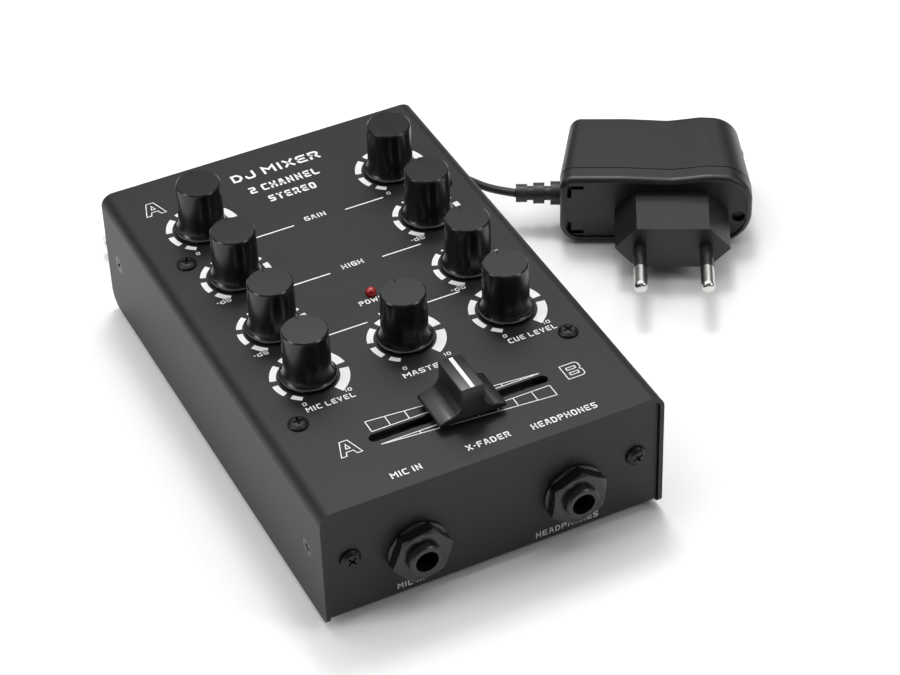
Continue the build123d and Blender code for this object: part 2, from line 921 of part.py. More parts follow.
def adapter_plane(y):
    """An upright plane across the power supply that faces its prongs."""
    return Plane(
        origin=adapter_point(0, y, 0), x_dir=(*along, 0), z_dir=(-back[0], -back[1], 0)
    )


def supply_outline(y, inset, draft):
    """The power supply's end-on outline: a flattened round with a shallow wave along its top."""
    left = adapter_left + inset + draft
    right = adapter_right - inset - draft
    low = inset
    high = adapter_height - inset
    top = [(left + share * (right - left), high - dip * adapter_wave) for share, dip in wave_top]
    sole = [(left + share * (right - left), low + rise * adapter_wave) for share, rise in wave_sole]
    rounds = [share * (adapter_round - inset) for share in wave_rounds]
    with BuildSketch(adapter_plane(y)) as outline:
        with BuildLine():
            FilletPolyline(*top, *sole, radius=rounds, close=True)
        make_face()
    return outline.sketch


seam_y = adapter_front + adapter_cap_depth
supply_back = seam_y + adapter_shell_depth
relief_y = adapter_front + relief_behind
relief_x = adapter_left + adapter_draft * (relief_y - seam_y) / adapter_shell_depth
relief_seat = Plane(
    origin=adapter_point(relief_x, relief_y, relief_axis), z_dir=(-along[0], -along[1], 0)
)

with BuildPart() as adapter_shell:
    loft(
        [supply_outline(seam_y, 0, 0), supply_outline(supply_back, adapter_pinch, adapter_draft)]
    )
    beyond = adapter_point(adapter_middle, supply_back + adapter_shell_depth, adapter_height / 2)
    far_rim = adapter_shell.faces().sort_by_distance(beyond)[0]
    fillet(far_rim.edges(), adapter_far_edge)
    loft(
        [
            supply_outline(seam_y - fit, adapter_wall, 0),
            supply_outline(
                supply_back - adapter_wall, adapter_wall + adapter_pinch, adapter_draft
            ),
        ],
        mode=Mode.SUBTRACT,
    )
    with BuildSketch(adapter_plane(seam_y)):
        with Locations((pit_x, pit_z)):
            Circle(boss_radius)
    extrude(amount=-(adapter_shell_depth - adapter_wall / 2))
    with BuildSketch(adapter_plane(seam_y)):
        with Locations((pit_x, pit_z)):
            Circle(pit_radius / 2 + fit)
    extrude(amount=-adapter_shell_depth / 2, mode=Mode.SUBTRACT)
    with BuildSketch(relief_seat):
        Circle(relief_root + fit)
    extrude(amount=-2 * adapter_wall, both=True, mode=Mode.SUBTRACT)
save(adapter_shell.part, "adapter_shell")

block_reach = adapter_front
prongs = [(-prong_spacing / 2, block_axis), (prong_spacing / 2, block_axis)]
with BuildPart() as adapter_cap:
    extrude(supply_outline(seam_y, adapter_reveal, 0), amount=2 * adapter_reveal)
    extrude(
        supply_outline(seam_y - adapter_reveal, 0, 0), amount=adapter_cap_depth - adapter_reveal
    )
    before = adapter_point(adapter_middle, -adapter_shell_depth, adapter_height / 2)
    near_rim = adapter_cap.faces().sort_by_distance(before)[0]
    fillet(near_rim.edges(), adapter_near_edge)
    extrude(
        supply_outline(adapter_front, adapter_border, 0), amount=-adapter_recess, mode=Mode.SUBTRACT
    )
    with BuildSketch(adapter_plane(adapter_front + adapter_recess)):
        for z, way in ((notch_low, 1), (adapter_height - notch_high, -1)):
            with Locations((adapter_left + notch_inset + notch_arm / 2, z)):
                Rectangle(notch_arm + notch_width, notch_width)
            with Locations((adapter_left + notch_inset, z + way * notch_arm / 2)):
                Rectangle(notch_width, notch_arm)
    extrude(amount=-notch_depth, mode=Mode.SUBTRACT)
    with BuildSketch(adapter_plane(adapter_front + adapter_recess)) as block_outline:
        with BuildLine():
            Polyline(
                (-block_width / 2, block_axis),
                (-block_flat / 2, block_axis + block_height / 2),
                (block_flat / 2, block_axis + block_height / 2),
                (block_width / 2, block_axis),
                (block_flat / 2, block_axis - block_height / 2),
                (-block_flat / 2, block_axis - block_height / 2),
                close=True,
            )
        make_face()
        fillet(block_outline.vertices(), block_edge)
    extrude(amount=block_reach + adapter_recess)
    with BuildSketch(adapter_plane(0)):
        with Locations(*prongs):
            Circle(prong_neck + fit)
    extrude(amount=-prong_root, mode=Mode.SUBTRACT)
    with BuildSketch(adapter_plane(0)):
        with Locations((pit_x, pit_z)):
            Circle(pit_radius)
    extrude(amount=-(adapter_front + pit_depth), mode=Mode.SUBTRACT)
    with BuildSketch(adapter_plane(seam_y)):
        with Locations((pit_x, pit_z)):
            Circle(pit_radius / 2 + fit)
    extrude(amount=adapter_cap_depth, mode=Mode.SUBTRACT)
save(adapter_cap.part, "adapter_cap")

with BuildPart() as adapter_prongs:
    with BuildSketch(adapter_plane(prong_root)):
        with Locations(*prongs):
            Circle(prong_neck)
    extrude(amount=prong_root + prong_sleeve)
    with BuildSketch(adapter_plane(-prong_sleeve)):
        with Locations(*prongs):
            Circle(prong_radius)
    extrude(amount=prong_length - prong_sleeve)
    tips = adapter_prongs.edges().filter_by(GeomType.CIRCLE).sort_by_distance(
        adapter_point(0, -prong_length, block_axis)
    )[:2]
    fillet(tips, prong_tip_round)
save(adapter_prongs.part, "adapter_prongs")

with BuildPart() as prong_sleeves:
    with BuildSketch(adapter_plane(0)):
        with Locations(*prongs):
            Circle(prong_radius - fit)
            Circle(prong_neck + fit, mode=Mode.SUBTRACT)
    extrude(amount=prong_sleeve)
save(prong_sleeves.part, "prong_sleeves")

with BuildPart() as adapter_screw:
    with BuildSketch(adapter_plane(adapter_front + pit_depth)):
        with Locations((pit_x, pit_z)):
            Circle(pit_radius - 2 * fit)
    extrude(amount=1)
    with BuildSketch(adapter_plane(adapter_front + pit_depth)):
        with Locations((pit_x, pit_z)):
            Circle(pit_radius / 2)
    extrude(amount=-(adapter_cap_depth - pit_depth + adapter_screw_reach))
save(adapter_screw.part, "adapter_screw")

supply_board_y = seam_y + adapter_shell_depth / 2 - adapter_wall
supply_board_top = supply_board_z + board_sheet
supply_parts_top = adapter_height - adapter_wall - adapter_wave - supply_headroom
with BuildPart() as adapter_board:
    with BuildSketch(
        Plane(origin=adapter_point(adapter_middle, supply_board_y, supply_board_z), x_dir=(*along, 0))
    ):
        Rectangle(adapter_width - 2 * supply_board_margin, supply_board_depth)
    extrude(amount=board_sheet)
    with BuildSketch(
        Plane(
            origin=adapter_point(adapter_middle, supply_board_y, supply_board_top),
            x_dir=(*along, 0),
        )
    ):
        Rectangle(transformer_width, transformer_depth)
        with Locations((capacitor_x, capacitor_spacing / 2), (capacitor_x, -capacitor_spacing / 2)):
            Circle(capacitor_radius)
        with Locations((coil_x, 0)):
            Circle(coil_radius)
    extrude(amount=supply_parts_top - supply_board_top)
save(adapter_board.part, "adapter_board")

with BuildPart() as adapter_relief:
    with BuildSketch(relief_seat.offset(-adapter_wall)):
        Circle(relief_root)
    extrude(amount=adapter_wall + relief_rib)
    with BuildSketch(relief_seat):
        Circle(relief_core)
    extrude(amount=relief_length)
    for rib in range(1, relief_ribs):
        share = rib / (relief_ribs - 1)
        with BuildSketch(relief_seat.offset(share * (relief_length - relief_rib))):
            Circle(relief_root + (relief_tip - relief_root) * share)
        extrude(amount=relief_rib)
save(adapter_relief.part, "adapter_relief")

# ---------------------------------------------------------------- cord, hank and plug
plug_way = (cos(radians(plug_turn)), sin(radians(plug_turn)), 0)
plug_seat = Plane(origin=(plug_x, plug_y, plug_grip), z_dir=plug_way)


def route_radii(points):
    """The bend at each corner of a cord's route, as large as its two runs allow."""
    stops = [Vector(*point) for point in points]
    runs = [after - before for before, after in zip(stops, stops[1:])]
    radii = []
    for one, two in zip(runs, runs[1:]):
        half_turn = radians(one.get_angle(two) / 2)
        radii.append(bend_share * min(one.length, two.length) / (sin(half_turn) / cos(half_turn)))
    return radii


def route_tube(points):
    """A cord's tube along straight runs joined by tangent arcs, and its path's length."""
    radii = route_radii(points)
    print("bends in diameters:", [round(radius / cord_diameter, 1) for radius in radii])
    with BuildPart() as tube:
        with BuildLine() as path:
            FilletPolyline(*points, radius=radii)
        with BuildSketch(Plane(origin=path.line @ 0, z_dir=path.line % 0)):
            Circle(cord_diameter / 2)
        sweep()
    plain_volume = pi * (cord_diameter / 2) ** 2 * path.wire().length
    print("volume over section x length:", round(tube.part.volume / plain_volume, 4))
    return tube.part




def above_rest(points):
    """Route points with their heights counted from a cord that lies on the surface."""
    return [(x, y, cord_diameter / 2 + lift) for x, y, lift in points]


relief_end = relief_seat.offset(relief_length).origin
with BuildPart() as supply_cord:
    add(route_tube([tuple(relief_end), *above_rest(cord_to_hank)]))
    add(route_tube([*above_rest(lead_to_plug), tuple(plug_seat.origin)]))
save(supply_cord.part, "supply_cord")

fold_outside = cord_diameter * (hank_fold + hank_turns_wide) - cord_diameter / 2
waist = cord_diameter * hank_turns_wide
hank_height = cord_diameter * hank_turns_high
with BuildPart() as cord_hank:
    hank_floor = Plane(origin=(hank_x, hank_y, 0))
    with BuildSketch(hank_floor):
        with BuildLine():
            Spline((0, waist), (hank_reach, fold_outside), tangents=((1, 0), (1, 0)))
            ThreePointArc(
                (hank_reach, fold_outside),
                (hank_reach + fold_outside, 0),
                (hank_reach, -fold_outside),
            )
            Spline((hank_reach, -fold_outside), (0, -waist), tangents=((-1, 0), (-1, 0)))
            mirror(about=Plane.YZ)
        make_face()
    extrude(amount=hank_height)
    with BuildSketch():
        with Locations((hank_x, hank_y)):
            Rectangle(tie_width + 2 * fit, 2 * fold_outside)
    extrude(amount=hank_height, mode=Mode.SUBTRACT)
    with BuildSketch(Plane.XY.offset(tie_sheet + fit)):
        with Locations((hank_x, hank_y)):
            Rectangle(tie_width + 2 * fit, 2 * (waist - fit))
    extrude(amount=hank_height - 2 * (tie_sheet + fit))
save(cord_hank.part, "cord_hank")

with BuildPart() as cord_tie:
    with Locations((hank_x, hank_y, hank_height / 2)):
        Box(tie_width, 2 * (waist + tie_sheet), hank_height)
        Box(tie_width, 2 * waist, hank_height - 2 * tie_sheet, mode=Mode.SUBTRACT)
save(cord_tie.part, "cord_tie")

with BuildPart() as plug_body:
    with BuildSketch(plug_seat):
        Circle(cord_diameter / 2 + plug_relief_wall)
    with BuildSketch(plug_seat.offset(plug_relief_length)):
        Circle(plug_grip - plug_step)
    loft()
    with BuildSketch(plug_seat.offset(plug_relief_length)):
        Circle(plug_grip)
    extrude(amount=plug_grip_length)
    chamfer(plug_body.edges().filter_by(GeomType.CIRCLE).sort_by_distance(
        plug_seat.offset(plug_relief_length + plug_grip_length).origin)[:1], plug_edge)
save(plug_body.part, "plug_body")

with BuildPart() as plug_barrel:
    with BuildSketch(plug_seat.offset(plug_relief_length + plug_grip_length)):
        Circle(barrel_radius)
        Circle(barrel_bore, mode=Mode.SUBTRACT)
    extrude(amount=barrel_length)
save(plug_barrel.part, "plug_barrel")
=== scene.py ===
"""The looks of a pocket DJ mixer and its plug-in power supply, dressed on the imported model."""

import logging
import math
from dataclasses import dataclass, field
from enum import Enum

import bmesh
import bpy
from mathutils import Matrix, Vector


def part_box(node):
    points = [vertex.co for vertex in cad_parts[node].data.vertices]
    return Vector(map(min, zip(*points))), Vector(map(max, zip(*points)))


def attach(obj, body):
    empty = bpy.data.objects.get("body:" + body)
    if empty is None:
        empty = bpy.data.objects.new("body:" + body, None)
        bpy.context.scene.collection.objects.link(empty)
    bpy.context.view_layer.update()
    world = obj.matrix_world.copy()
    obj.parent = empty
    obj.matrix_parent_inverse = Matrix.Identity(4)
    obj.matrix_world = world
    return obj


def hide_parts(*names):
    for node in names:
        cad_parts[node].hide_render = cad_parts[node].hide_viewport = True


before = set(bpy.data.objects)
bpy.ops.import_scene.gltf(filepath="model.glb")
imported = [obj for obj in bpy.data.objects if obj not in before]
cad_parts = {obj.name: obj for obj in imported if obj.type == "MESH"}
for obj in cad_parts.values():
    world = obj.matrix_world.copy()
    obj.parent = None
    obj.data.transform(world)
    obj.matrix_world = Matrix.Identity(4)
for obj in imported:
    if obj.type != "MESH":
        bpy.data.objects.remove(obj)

MM = 0.001
CASE = "case"
TURNED = "turned"
MERGE = 1e-4
UP_WAY = (0, 0, 1)
FRONT_WAY = (0, -1, 0)
QUARTER = math.radians(90)

Colour = tuple[float, float, float]
Flat = tuple[float, float]
Point = tuple[float, float, float]
Corner = tuple[float, float, float]
Seat = tuple[Point, Point, float]
Socket = bpy.types.NodeSocket

log = logging.getLogger("mixer")


# ------------------------------------------------------------------ places


def box_mm(node: str) -> tuple[Vector, Vector]:
    """A CAD node's lowest and highest corners in millimetres."""
    low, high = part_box(node)
    return low / MM, high / MM


def middle_of(node: str) -> Vector:
    """The middle of a CAD node's box, in millimetres."""
    low, high = box_mm(node)
    return (low + high) / 2


def seat(origin: Point | Vector, facing: Point | Vector = UP_WAY, spin: float = 0.0) -> Matrix:
    """The place of a piece that is built round its own Z axis.

    Args:
        origin: Where the piece's own origin goes, in millimetres.
        facing: The direction its Z axis takes.
        spin: A turn about that axis, in degrees.

    Returns:
        The matrix from the piece's own axes to the mixer's.
    """
    ahead = Vector(facing).normalized()
    turn = Vector(UP_WAY).rotation_difference(ahead).to_matrix().to_4x4()
    return Matrix.Translation(Vector(origin)) @ turn @ Matrix.Rotation(math.radians(spin), 4, "Z")


def arc(radius: float, start: float, end: float, steps: int, middle: Flat = (0.0, 0.0)) -> list[Flat]:
    """Points along part of a circle, both ends included.

    Args:
        radius: The circle's radius.
        start: The first point's angle, in radians.
        end: The last point's angle.
        steps: How many straight pieces the part has.
        middle: The circle's centre.

    Returns:
        The points.
    """
    angles = [start + (end - start) * step / steps for step in range(steps + 1)]
    return [(middle[0] + radius * math.cos(a), middle[1] + radius * math.sin(a)) for a in angles]


def rectangle(low: Flat, high: Flat) -> list[Flat]:
    """A rectangle's corners, counter-clockwise from the lower left."""
    return [low, (high[0], low[1]), high, (low[0], high[1])]


def rounded(corners: list[Corner], steps: int = 4) -> list[Flat]:
    """A flat line with its corners rounded.

    Args:
        corners: Each corner's place and its radius.
        steps: How many straight pieces each round has.

    Returns:
        The points of the line, from its first corner to its last.
    """
    line: list[Flat] = [corners[0][:2]]
    for before, corner, after in zip(corners, corners[1:], corners[2:]):
        here = Vector(corner[:2])
        back = Vector(before[:2]) - here
        on = Vector(after[:2]) - here
        half = back.angle(on) / 2
        if corner[2] <= 0 or math.pi / 2 - half < 1e-3:
            line.append(corner[:2])
            continue
        cut = min(corner[2] / math.tan(half), 0.49 * back.length, 0.49 * on.length)
        start, end = here + back.normalized() * cut, here + on.normalized() * cut
        for step in range(steps + 1):
            share = step / steps
            point = start * (1 - share) ** 2 + here * 2 * share * (1 - share) + end * share**2
            line.append((point.x, point.y))
    line.append(corners[-1][:2])
    return line


# ------------------------------------------------------------------ finishes

NOISE_RANGE = (0.3, 0.7)


class NodeTree:
    """A node tree under construction, of a material or of Geometry Nodes."""

    def __init__(self, tree: bpy.types.NodeTree) -> None:
        """Start on a tree."""
        self.tree = tree

    def node(self, kind: str, inputs: dict | None = None, **settings: object) -> bpy.types.Node:
        """Add a node.

        Args:
            kind: The node's type.
            inputs: Values or sockets for its inputs, by name or number.
            settings: The node's own settings.

        Returns:
            The node.
        """
        made = self.tree.nodes.new(kind)
        for key, value in settings.items():
            setattr(made, key, value)
        for key, value in (inputs or {}).items():
            if isinstance(value, Socket):
                self.tree.links.new(value, made.inputs[key])
            else:
                made.inputs[key].default_value = value
        return made


class Shader(NodeTree):
    """A material under construction."""

    def __init__(self, name: str) -> None:
        """Start a material with its principled surface."""
        self.material = bpy.data.materials.new(name)
        self.material.use_nodes = True
        super().__init__(self.material.node_tree)
        self.surface = self.tree.nodes["Principled BSDF"]
        self.place = self.node("ShaderNodeTexCoord").outputs["Object"]

    def noise(self, size: float, detail: float = 2.0, vector: Socket | None = None) -> Socket:
        """Soft noise whose lumps are about size millimetres across."""
        inputs = {"Vector": vector or self.place, "Scale": 1 / (size * MM), "Detail": detail}
        return self.node("ShaderNodeTexNoise", inputs).outputs["Fac"]

    def spread(self, value: Socket, start: Flat, end: Flat) -> Socket:
        """Map a value from one range to another."""
        inputs = {0: value, 1: start[0], 2: start[1], 3: end[0], 4: end[1]}
        return self.node("ShaderNodeMapRange", inputs).outputs[0]

    def mix(self, factor: Socket, one: Colour | Socket, two: Colour) -> Socket:
        """Mix two colours by a factor."""
        first = one if isinstance(one, Socket) else (*one, 1.0)
        inputs = {0: factor, 6: first, 7: (*two, 1.0)}
        return self.node("ShaderNodeMix", inputs, data_type="RGBA").outputs[2]

    def bump(self, height: Socket, depth: float, strength: float, under: Socket | None = None) -> Socket:
        """Turn a height into a bump depth millimetres deep, over another bump if there is one."""
        inputs = {"Height": height, "Distance": depth * MM, "Strength": strength}
        if under is not None:
            inputs["Normal"] = under
        return self.node("ShaderNodeBump", inputs).outputs["Normal"]

    def link(self, value: Socket, name: str) -> None:
        """Feed a value to the surface's input of that name."""
        self.tree.links.new(value, self.surface.inputs[name])

    def rough(self, value: Socket, low: float, high: float) -> None:
        """Let the roughness follow a noise, from low to high over the noise's usual range."""
        self.link(self.spread(value, NOISE_RANGE, (low, high)), "Roughness")

    def fix(self, **values: float) -> None:
        """Set the surface's plain numbers by input name, with _ for a space."""
        for name, value in values.items():
            self.surface.inputs[name.replace("_", " ")].default_value = value


def shade(colour: Colour, factor: float) -> Colour:
    """A colour made lighter or darker."""
    return tuple(min(1.0, part * factor) for part in colour)


@dataclass(frozen=True)
class Moulded:
    """Moulded plastic or rubber with a fine spark-eroded grain and a little handling dust.

    Attributes are the base colour, the roughness, the grain's size and depth in millimetres,
    the strength of a clear gloss over it, and how strongly tone and roughness vary over the piece.
    """

    colour: Colour
    roughness: float
    grain: float
    depth: float
    coat: float = 0.0
    drift: float = 0.12
    uneven: float = 0.045

    def build(self, name: str) -> bpy.types.Material:
        """Build the material under a name."""
        made = Shader(name)
        broad = made.noise(9.0, 3.0)
        fine = made.noise(self.grain, 2.0)
        tone = made.mix(broad, shade(self.colour, 1 - self.drift), shade(self.colour, 1 + self.drift))
        dust = made.spread(fine, (0.55, 0.8), (0.0, 0.35))
        made.link(made.mix(dust, tone, shade(self.colour, 1.5)), "Base Color")
        made.rough(made.noise(3.0, 4.0), self.roughness - self.uneven, self.roughness + self.uneven)
        made.link(made.bump(fine, self.depth, 0.6), "Normal")
        made.fix(Coat_Weight=self.coat, Coat_Roughness=0.08, Specular_IOR_Level=0.5)
        return made.material


@dataclass(frozen=True)
class PowderCoat:
    """Baked black powder paint: a fine orange peel, a satin break and a few pale dust specks."""

    colour: Colour
    roughness: float
    peel: float = 0.55
    grain: float = 0.16

    def build(self, name: str) -> bpy.types.Material:
        """Build the material under a name."""
        made = Shader(name)
        broad = made.noise(24.0, 3.0)
        fine = made.noise(self.grain, 3.0)
        peel = made.noise(self.peel, 2.0)
        tone = made.mix(broad, shade(self.colour, 0.9), shade(self.colour, 1.12))
        grained = made.mix(made.spread(fine, (0.4, 0.75), (0.0, 0.6)), tone, shade(self.colour, 1.35))
        cells = {"Vector": made.place, "Scale": 1 / (3.5 * MM)}
        distance = made.node("ShaderNodeTexVoronoi", cells).outputs["Distance"]
        specks = made.spread(distance, (0.0, 0.03), (0.35, 0.0))
        made.link(made.mix(specks, grained, (0.22, 0.22, 0.22)), "Base Color")
        made.rough(fine, self.roughness - 0.05, self.roughness + 0.07)
        made.link(made.bump(fine, 0.012, 0.5, made.bump(peel, 0.02, 0.35)), "Normal")
        made.fix(Specular_IOR_Level=0.36)
        return made.material


@dataclass(frozen=True)
class Turned:
    """A face cut on a lathe, with fine rings round its own axis that stretch each highlight.

    The rings follow the piece's own map, whose U runs round the axis and V out from it.
    """

    colour: Colour
    roughness: float
    metallic: float
    pitch: float = 0.12
    depth: float = 0.004
    stretch: float = 0.8

    def build(self, name: str) -> bpy.types.Material:
        """Build the material under a name."""
        made = Shader(name)
        own = made.node("ShaderNodeUVMap", uv_map=TURNED).outputs["UV"]
        stretch = {"Vector": own, "Scale": (3.0, 1 / self.pitch, 1.0)}
        ringed = {"Vector": made.node("ShaderNodeMapping", stretch).outputs[0], "Scale": 1.0, "Detail": 2.0}
        rings = made.node("ShaderNodeTexNoise", ringed).outputs["Fac"]
        made.link(made.mix(rings, shade(self.colour, 0.8), shade(self.colour, 1.25)), "Base Color")
        made.rough(rings, self.roughness - 0.04, self.roughness + 0.04)
        made.link(made.bump(rings, self.depth, 0.5), "Normal")
        tangent = made.node("ShaderNodeTangent", direction_type="UV_MAP", uv_map=TURNED).outputs["Tangent"]
        made.link(tangent, "Tangent")
        made.fix(Metallic=self.metallic, Anisotropic=self.stretch, Anisotropic_Rotation=0.25)
        return made.material


@dataclass(frozen=True)
class Plated:
    """Plated or tinned metal with faint drawing lines and small dull patches."""

    colour: Colour
    roughness: float
    metallic: float = 1.0
    lines: Point = (0.25, 4.0, 4.0)

    def build(self, name: str) -> bpy.types.Material:
        """Build the material under a name."""
        made = Shader(name)
        drawn = made.node("ShaderNodeMapping", {"Vector": made.place, "Scale": self.lines}).outputs[0]
        streaks = made.noise(0.5, 3.0, drawn)
        patches = made.noise(1.6, 3.0)
        made.link(made.mix(patches, shade(self.colour, 0.85), shade(self.colour, 1.08)), "Base Color")
        made.rough(streaks, self.roughness - 0.05, self.roughness + 0.1)
        made.link(made.bump(streaks, 0.006, 0.3), "Normal")
        made.fix(Metallic=self.metallic)
        return made.material


@dataclass(frozen=True)
class Ink:
    """Screen-printed ink: nearly flat, a touch thin in places, with a grain from the paint under it."""

    colour: Colour
    thin: Colour

    def build(self, name: str) -> bpy.types.Material:
        """Build the material under a name."""
        made = Shader(name)
        weave = made.noise(0.22, 3.0)
        cover = made.spread(weave, (0.62, 0.85), (0.0, 0.5))
        made.link(made.mix(cover, self.colour, self.thin), "Base Color")
        made.rough(weave, 0.42, 0.55)
        made.link(made.bump(weave, 0.008, 0.4), "Normal")
        made.fix(Specular_IOR_Level=0.4)
        return made.material


@dataclass(frozen=True)
class Lens:
    """Tinted clear plastic over a small lamp, cloudy inside."""

    colour: Colour

    def build(self, name: str) -> bpy.types.Material:
        """Build the material under a name."""
        made = Shader(name)
        cloud = made.noise(0.8, 3.0)
        made.link(made.mix(cloud, shade(self.colour, 0.55), shade(self.colour, 1.3)), "Base Color")
        made.rough(cloud, 0.12, 0.22)
        made.fix(Transmission_Weight=0.35, Coat_Weight=0.6, Coat_Roughness=0.05, IOR=1.5)
        return made.material


@dataclass(frozen=True)
class Circuit:
    """A printed circuit board: mask over copper tracks that run in steps."""

    mask: Colour
    track: Colour

    def build(self, name: str) -> bpy.types.Material:
        """Build the material under a name."""
        made = Shader(name)
        cells = {"Vector": made.place, "Scale": 1 / (5.0 * MM)}
        blocks = made.node("ShaderNodeTexVoronoi", cells, distance="MANHATTAN", feature="F1")
        track = blocks.outputs["Distance"]
        lines = made.node("ShaderNodeMath", {0: track, 1: 6.0}, operation="MULTIPLY").outputs[0]
        steps = made.node("ShaderNodeMath", {0: lines}, operation="FRACT").outputs[0]
        copper = made.spread(steps, (0.45, 0.5), (0.0, 1.0))
        made.link(made.mix(copper, self.mask, self.track), "Base Color")
        made.rough(made.noise(0.4), 0.28, 0.4)
        made.link(made.bump(copper, 0.03, 0.5), "Normal")
        return made.material


class Dress(Enum):
    """The mixer's finishes, by what they are put on."""

    CASE_PAINT = PowderCoat((0.0070, 0.0072, 0.0074), 0.46)
    PRINT = Ink((0.80, 0.81, 0.80), (0.36, 0.37, 0.37))
    PRINT_GREY = Ink((0.50, 0.51, 0.51), (0.22, 0.225, 0.225))
    KNOB = Moulded((0.0042, 0.0044, 0.0047), 0.24, 1.4, 0.0006, uneven=0.012)
    KNOB_TOP = Turned((0.045, 0.045, 0.046), 0.30, 0.92, stretch=0.9)
    CAP = Moulded((0.007, 0.0072, 0.0076), 0.36, 0.14, 0.008, uneven=0.02)
    BLACK_SCREW = Plated((0.022, 0.022, 0.024), 0.28, metallic=0.7)
    NUT = Moulded((0.006, 0.0062, 0.0066), 0.26, 0.9, 0.002, uneven=0.02)
    JACK = Moulded((0.006, 0.006, 0.0065), 0.32, 0.3, 0.006, uneven=0.02)
    RUBBER = Moulded((0.018, 0.018, 0.018), 0.78, 0.35, 0.03)
    STEEL = Plated((0.66, 0.66, 0.67), 0.24)
    ZINC = Plated((0.60, 0.62, 0.66), 0.34)
    TINNED = Plated((0.58, 0.59, 0.60), 0.38)
    NICKEL = Plated((0.70, 0.69, 0.67), 0.20, lines=(3.0, 3.0, 0.4))
    SOCKET = Plated((0.74, 0.73, 0.71), 0.16, lines=(4.0, 0.3, 4.0))
    BOARD_GREEN = Circuit((0.012, 0.10, 0.035), (0.03, 0.17, 0.07))
    BOARD_BROWN = Circuit((0.30, 0.19, 0.075), (0.42, 0.26, 0.10))
    SHAFT = Moulded((0.60, 0.58, 0.53), 0.45, 0.4, 0.01)
    POT = Plated((0.50, 0.52, 0.50), 0.42)
    NATURAL = Moulded((0.45, 0.43, 0.38), 0.5, 0.4, 0.01)
    CONTACT = Plated((0.70, 0.55, 0.22), 0.22)
    LAMP = Lens((0.62, 0.012, 0.018))
    INSERT_WHITE = Moulded((0.72, 0.72, 0.70), 0.34, 0.5, 0.006, drift=0.04)
    INSERT_RED = Moulded((0.52, 0.016, 0.018), 0.34, 0.5, 0.006)
    SUPPLY = Moulded((0.0085, 0.0087, 0.009), 0.38, 0.17, 0.012, uneven=0.02)
    SLEEVE = Moulded((0.010, 0.010, 0.011), 0.30, 0.4, 0.005)
    JACKET = Moulded((0.022, 0.022, 0.023), 0.46, 0.22, 0.012)


class Palette:
    """Builds each finish once and hands it out."""

    def __init__(self) -> None:
        """Start with nothing built."""
        self._built: dict[Dress, bpy.types.Material] = {}

    def get(self, dress: Dress) -> bpy.types.Material:
        """The material of a finish."""
        if dress not in self._built:
            self._built[dress] = dress.value.build(dress.name.lower())
        return self._built[dress]

    def dress_node(self, node: str, dress: Dress) -> None:
        """Give a CAD node's every face one finish."""
        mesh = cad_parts[node].data
        mesh.materials.clear()
        mesh.materials.append(self.get(dress))
        log.info("node %s wears %s", node, dress.name.lower())


PALETTE = Palette()


# ------------------------------------------------------------------ mesh work

UPRIGHT = seat((0, 0, 0))


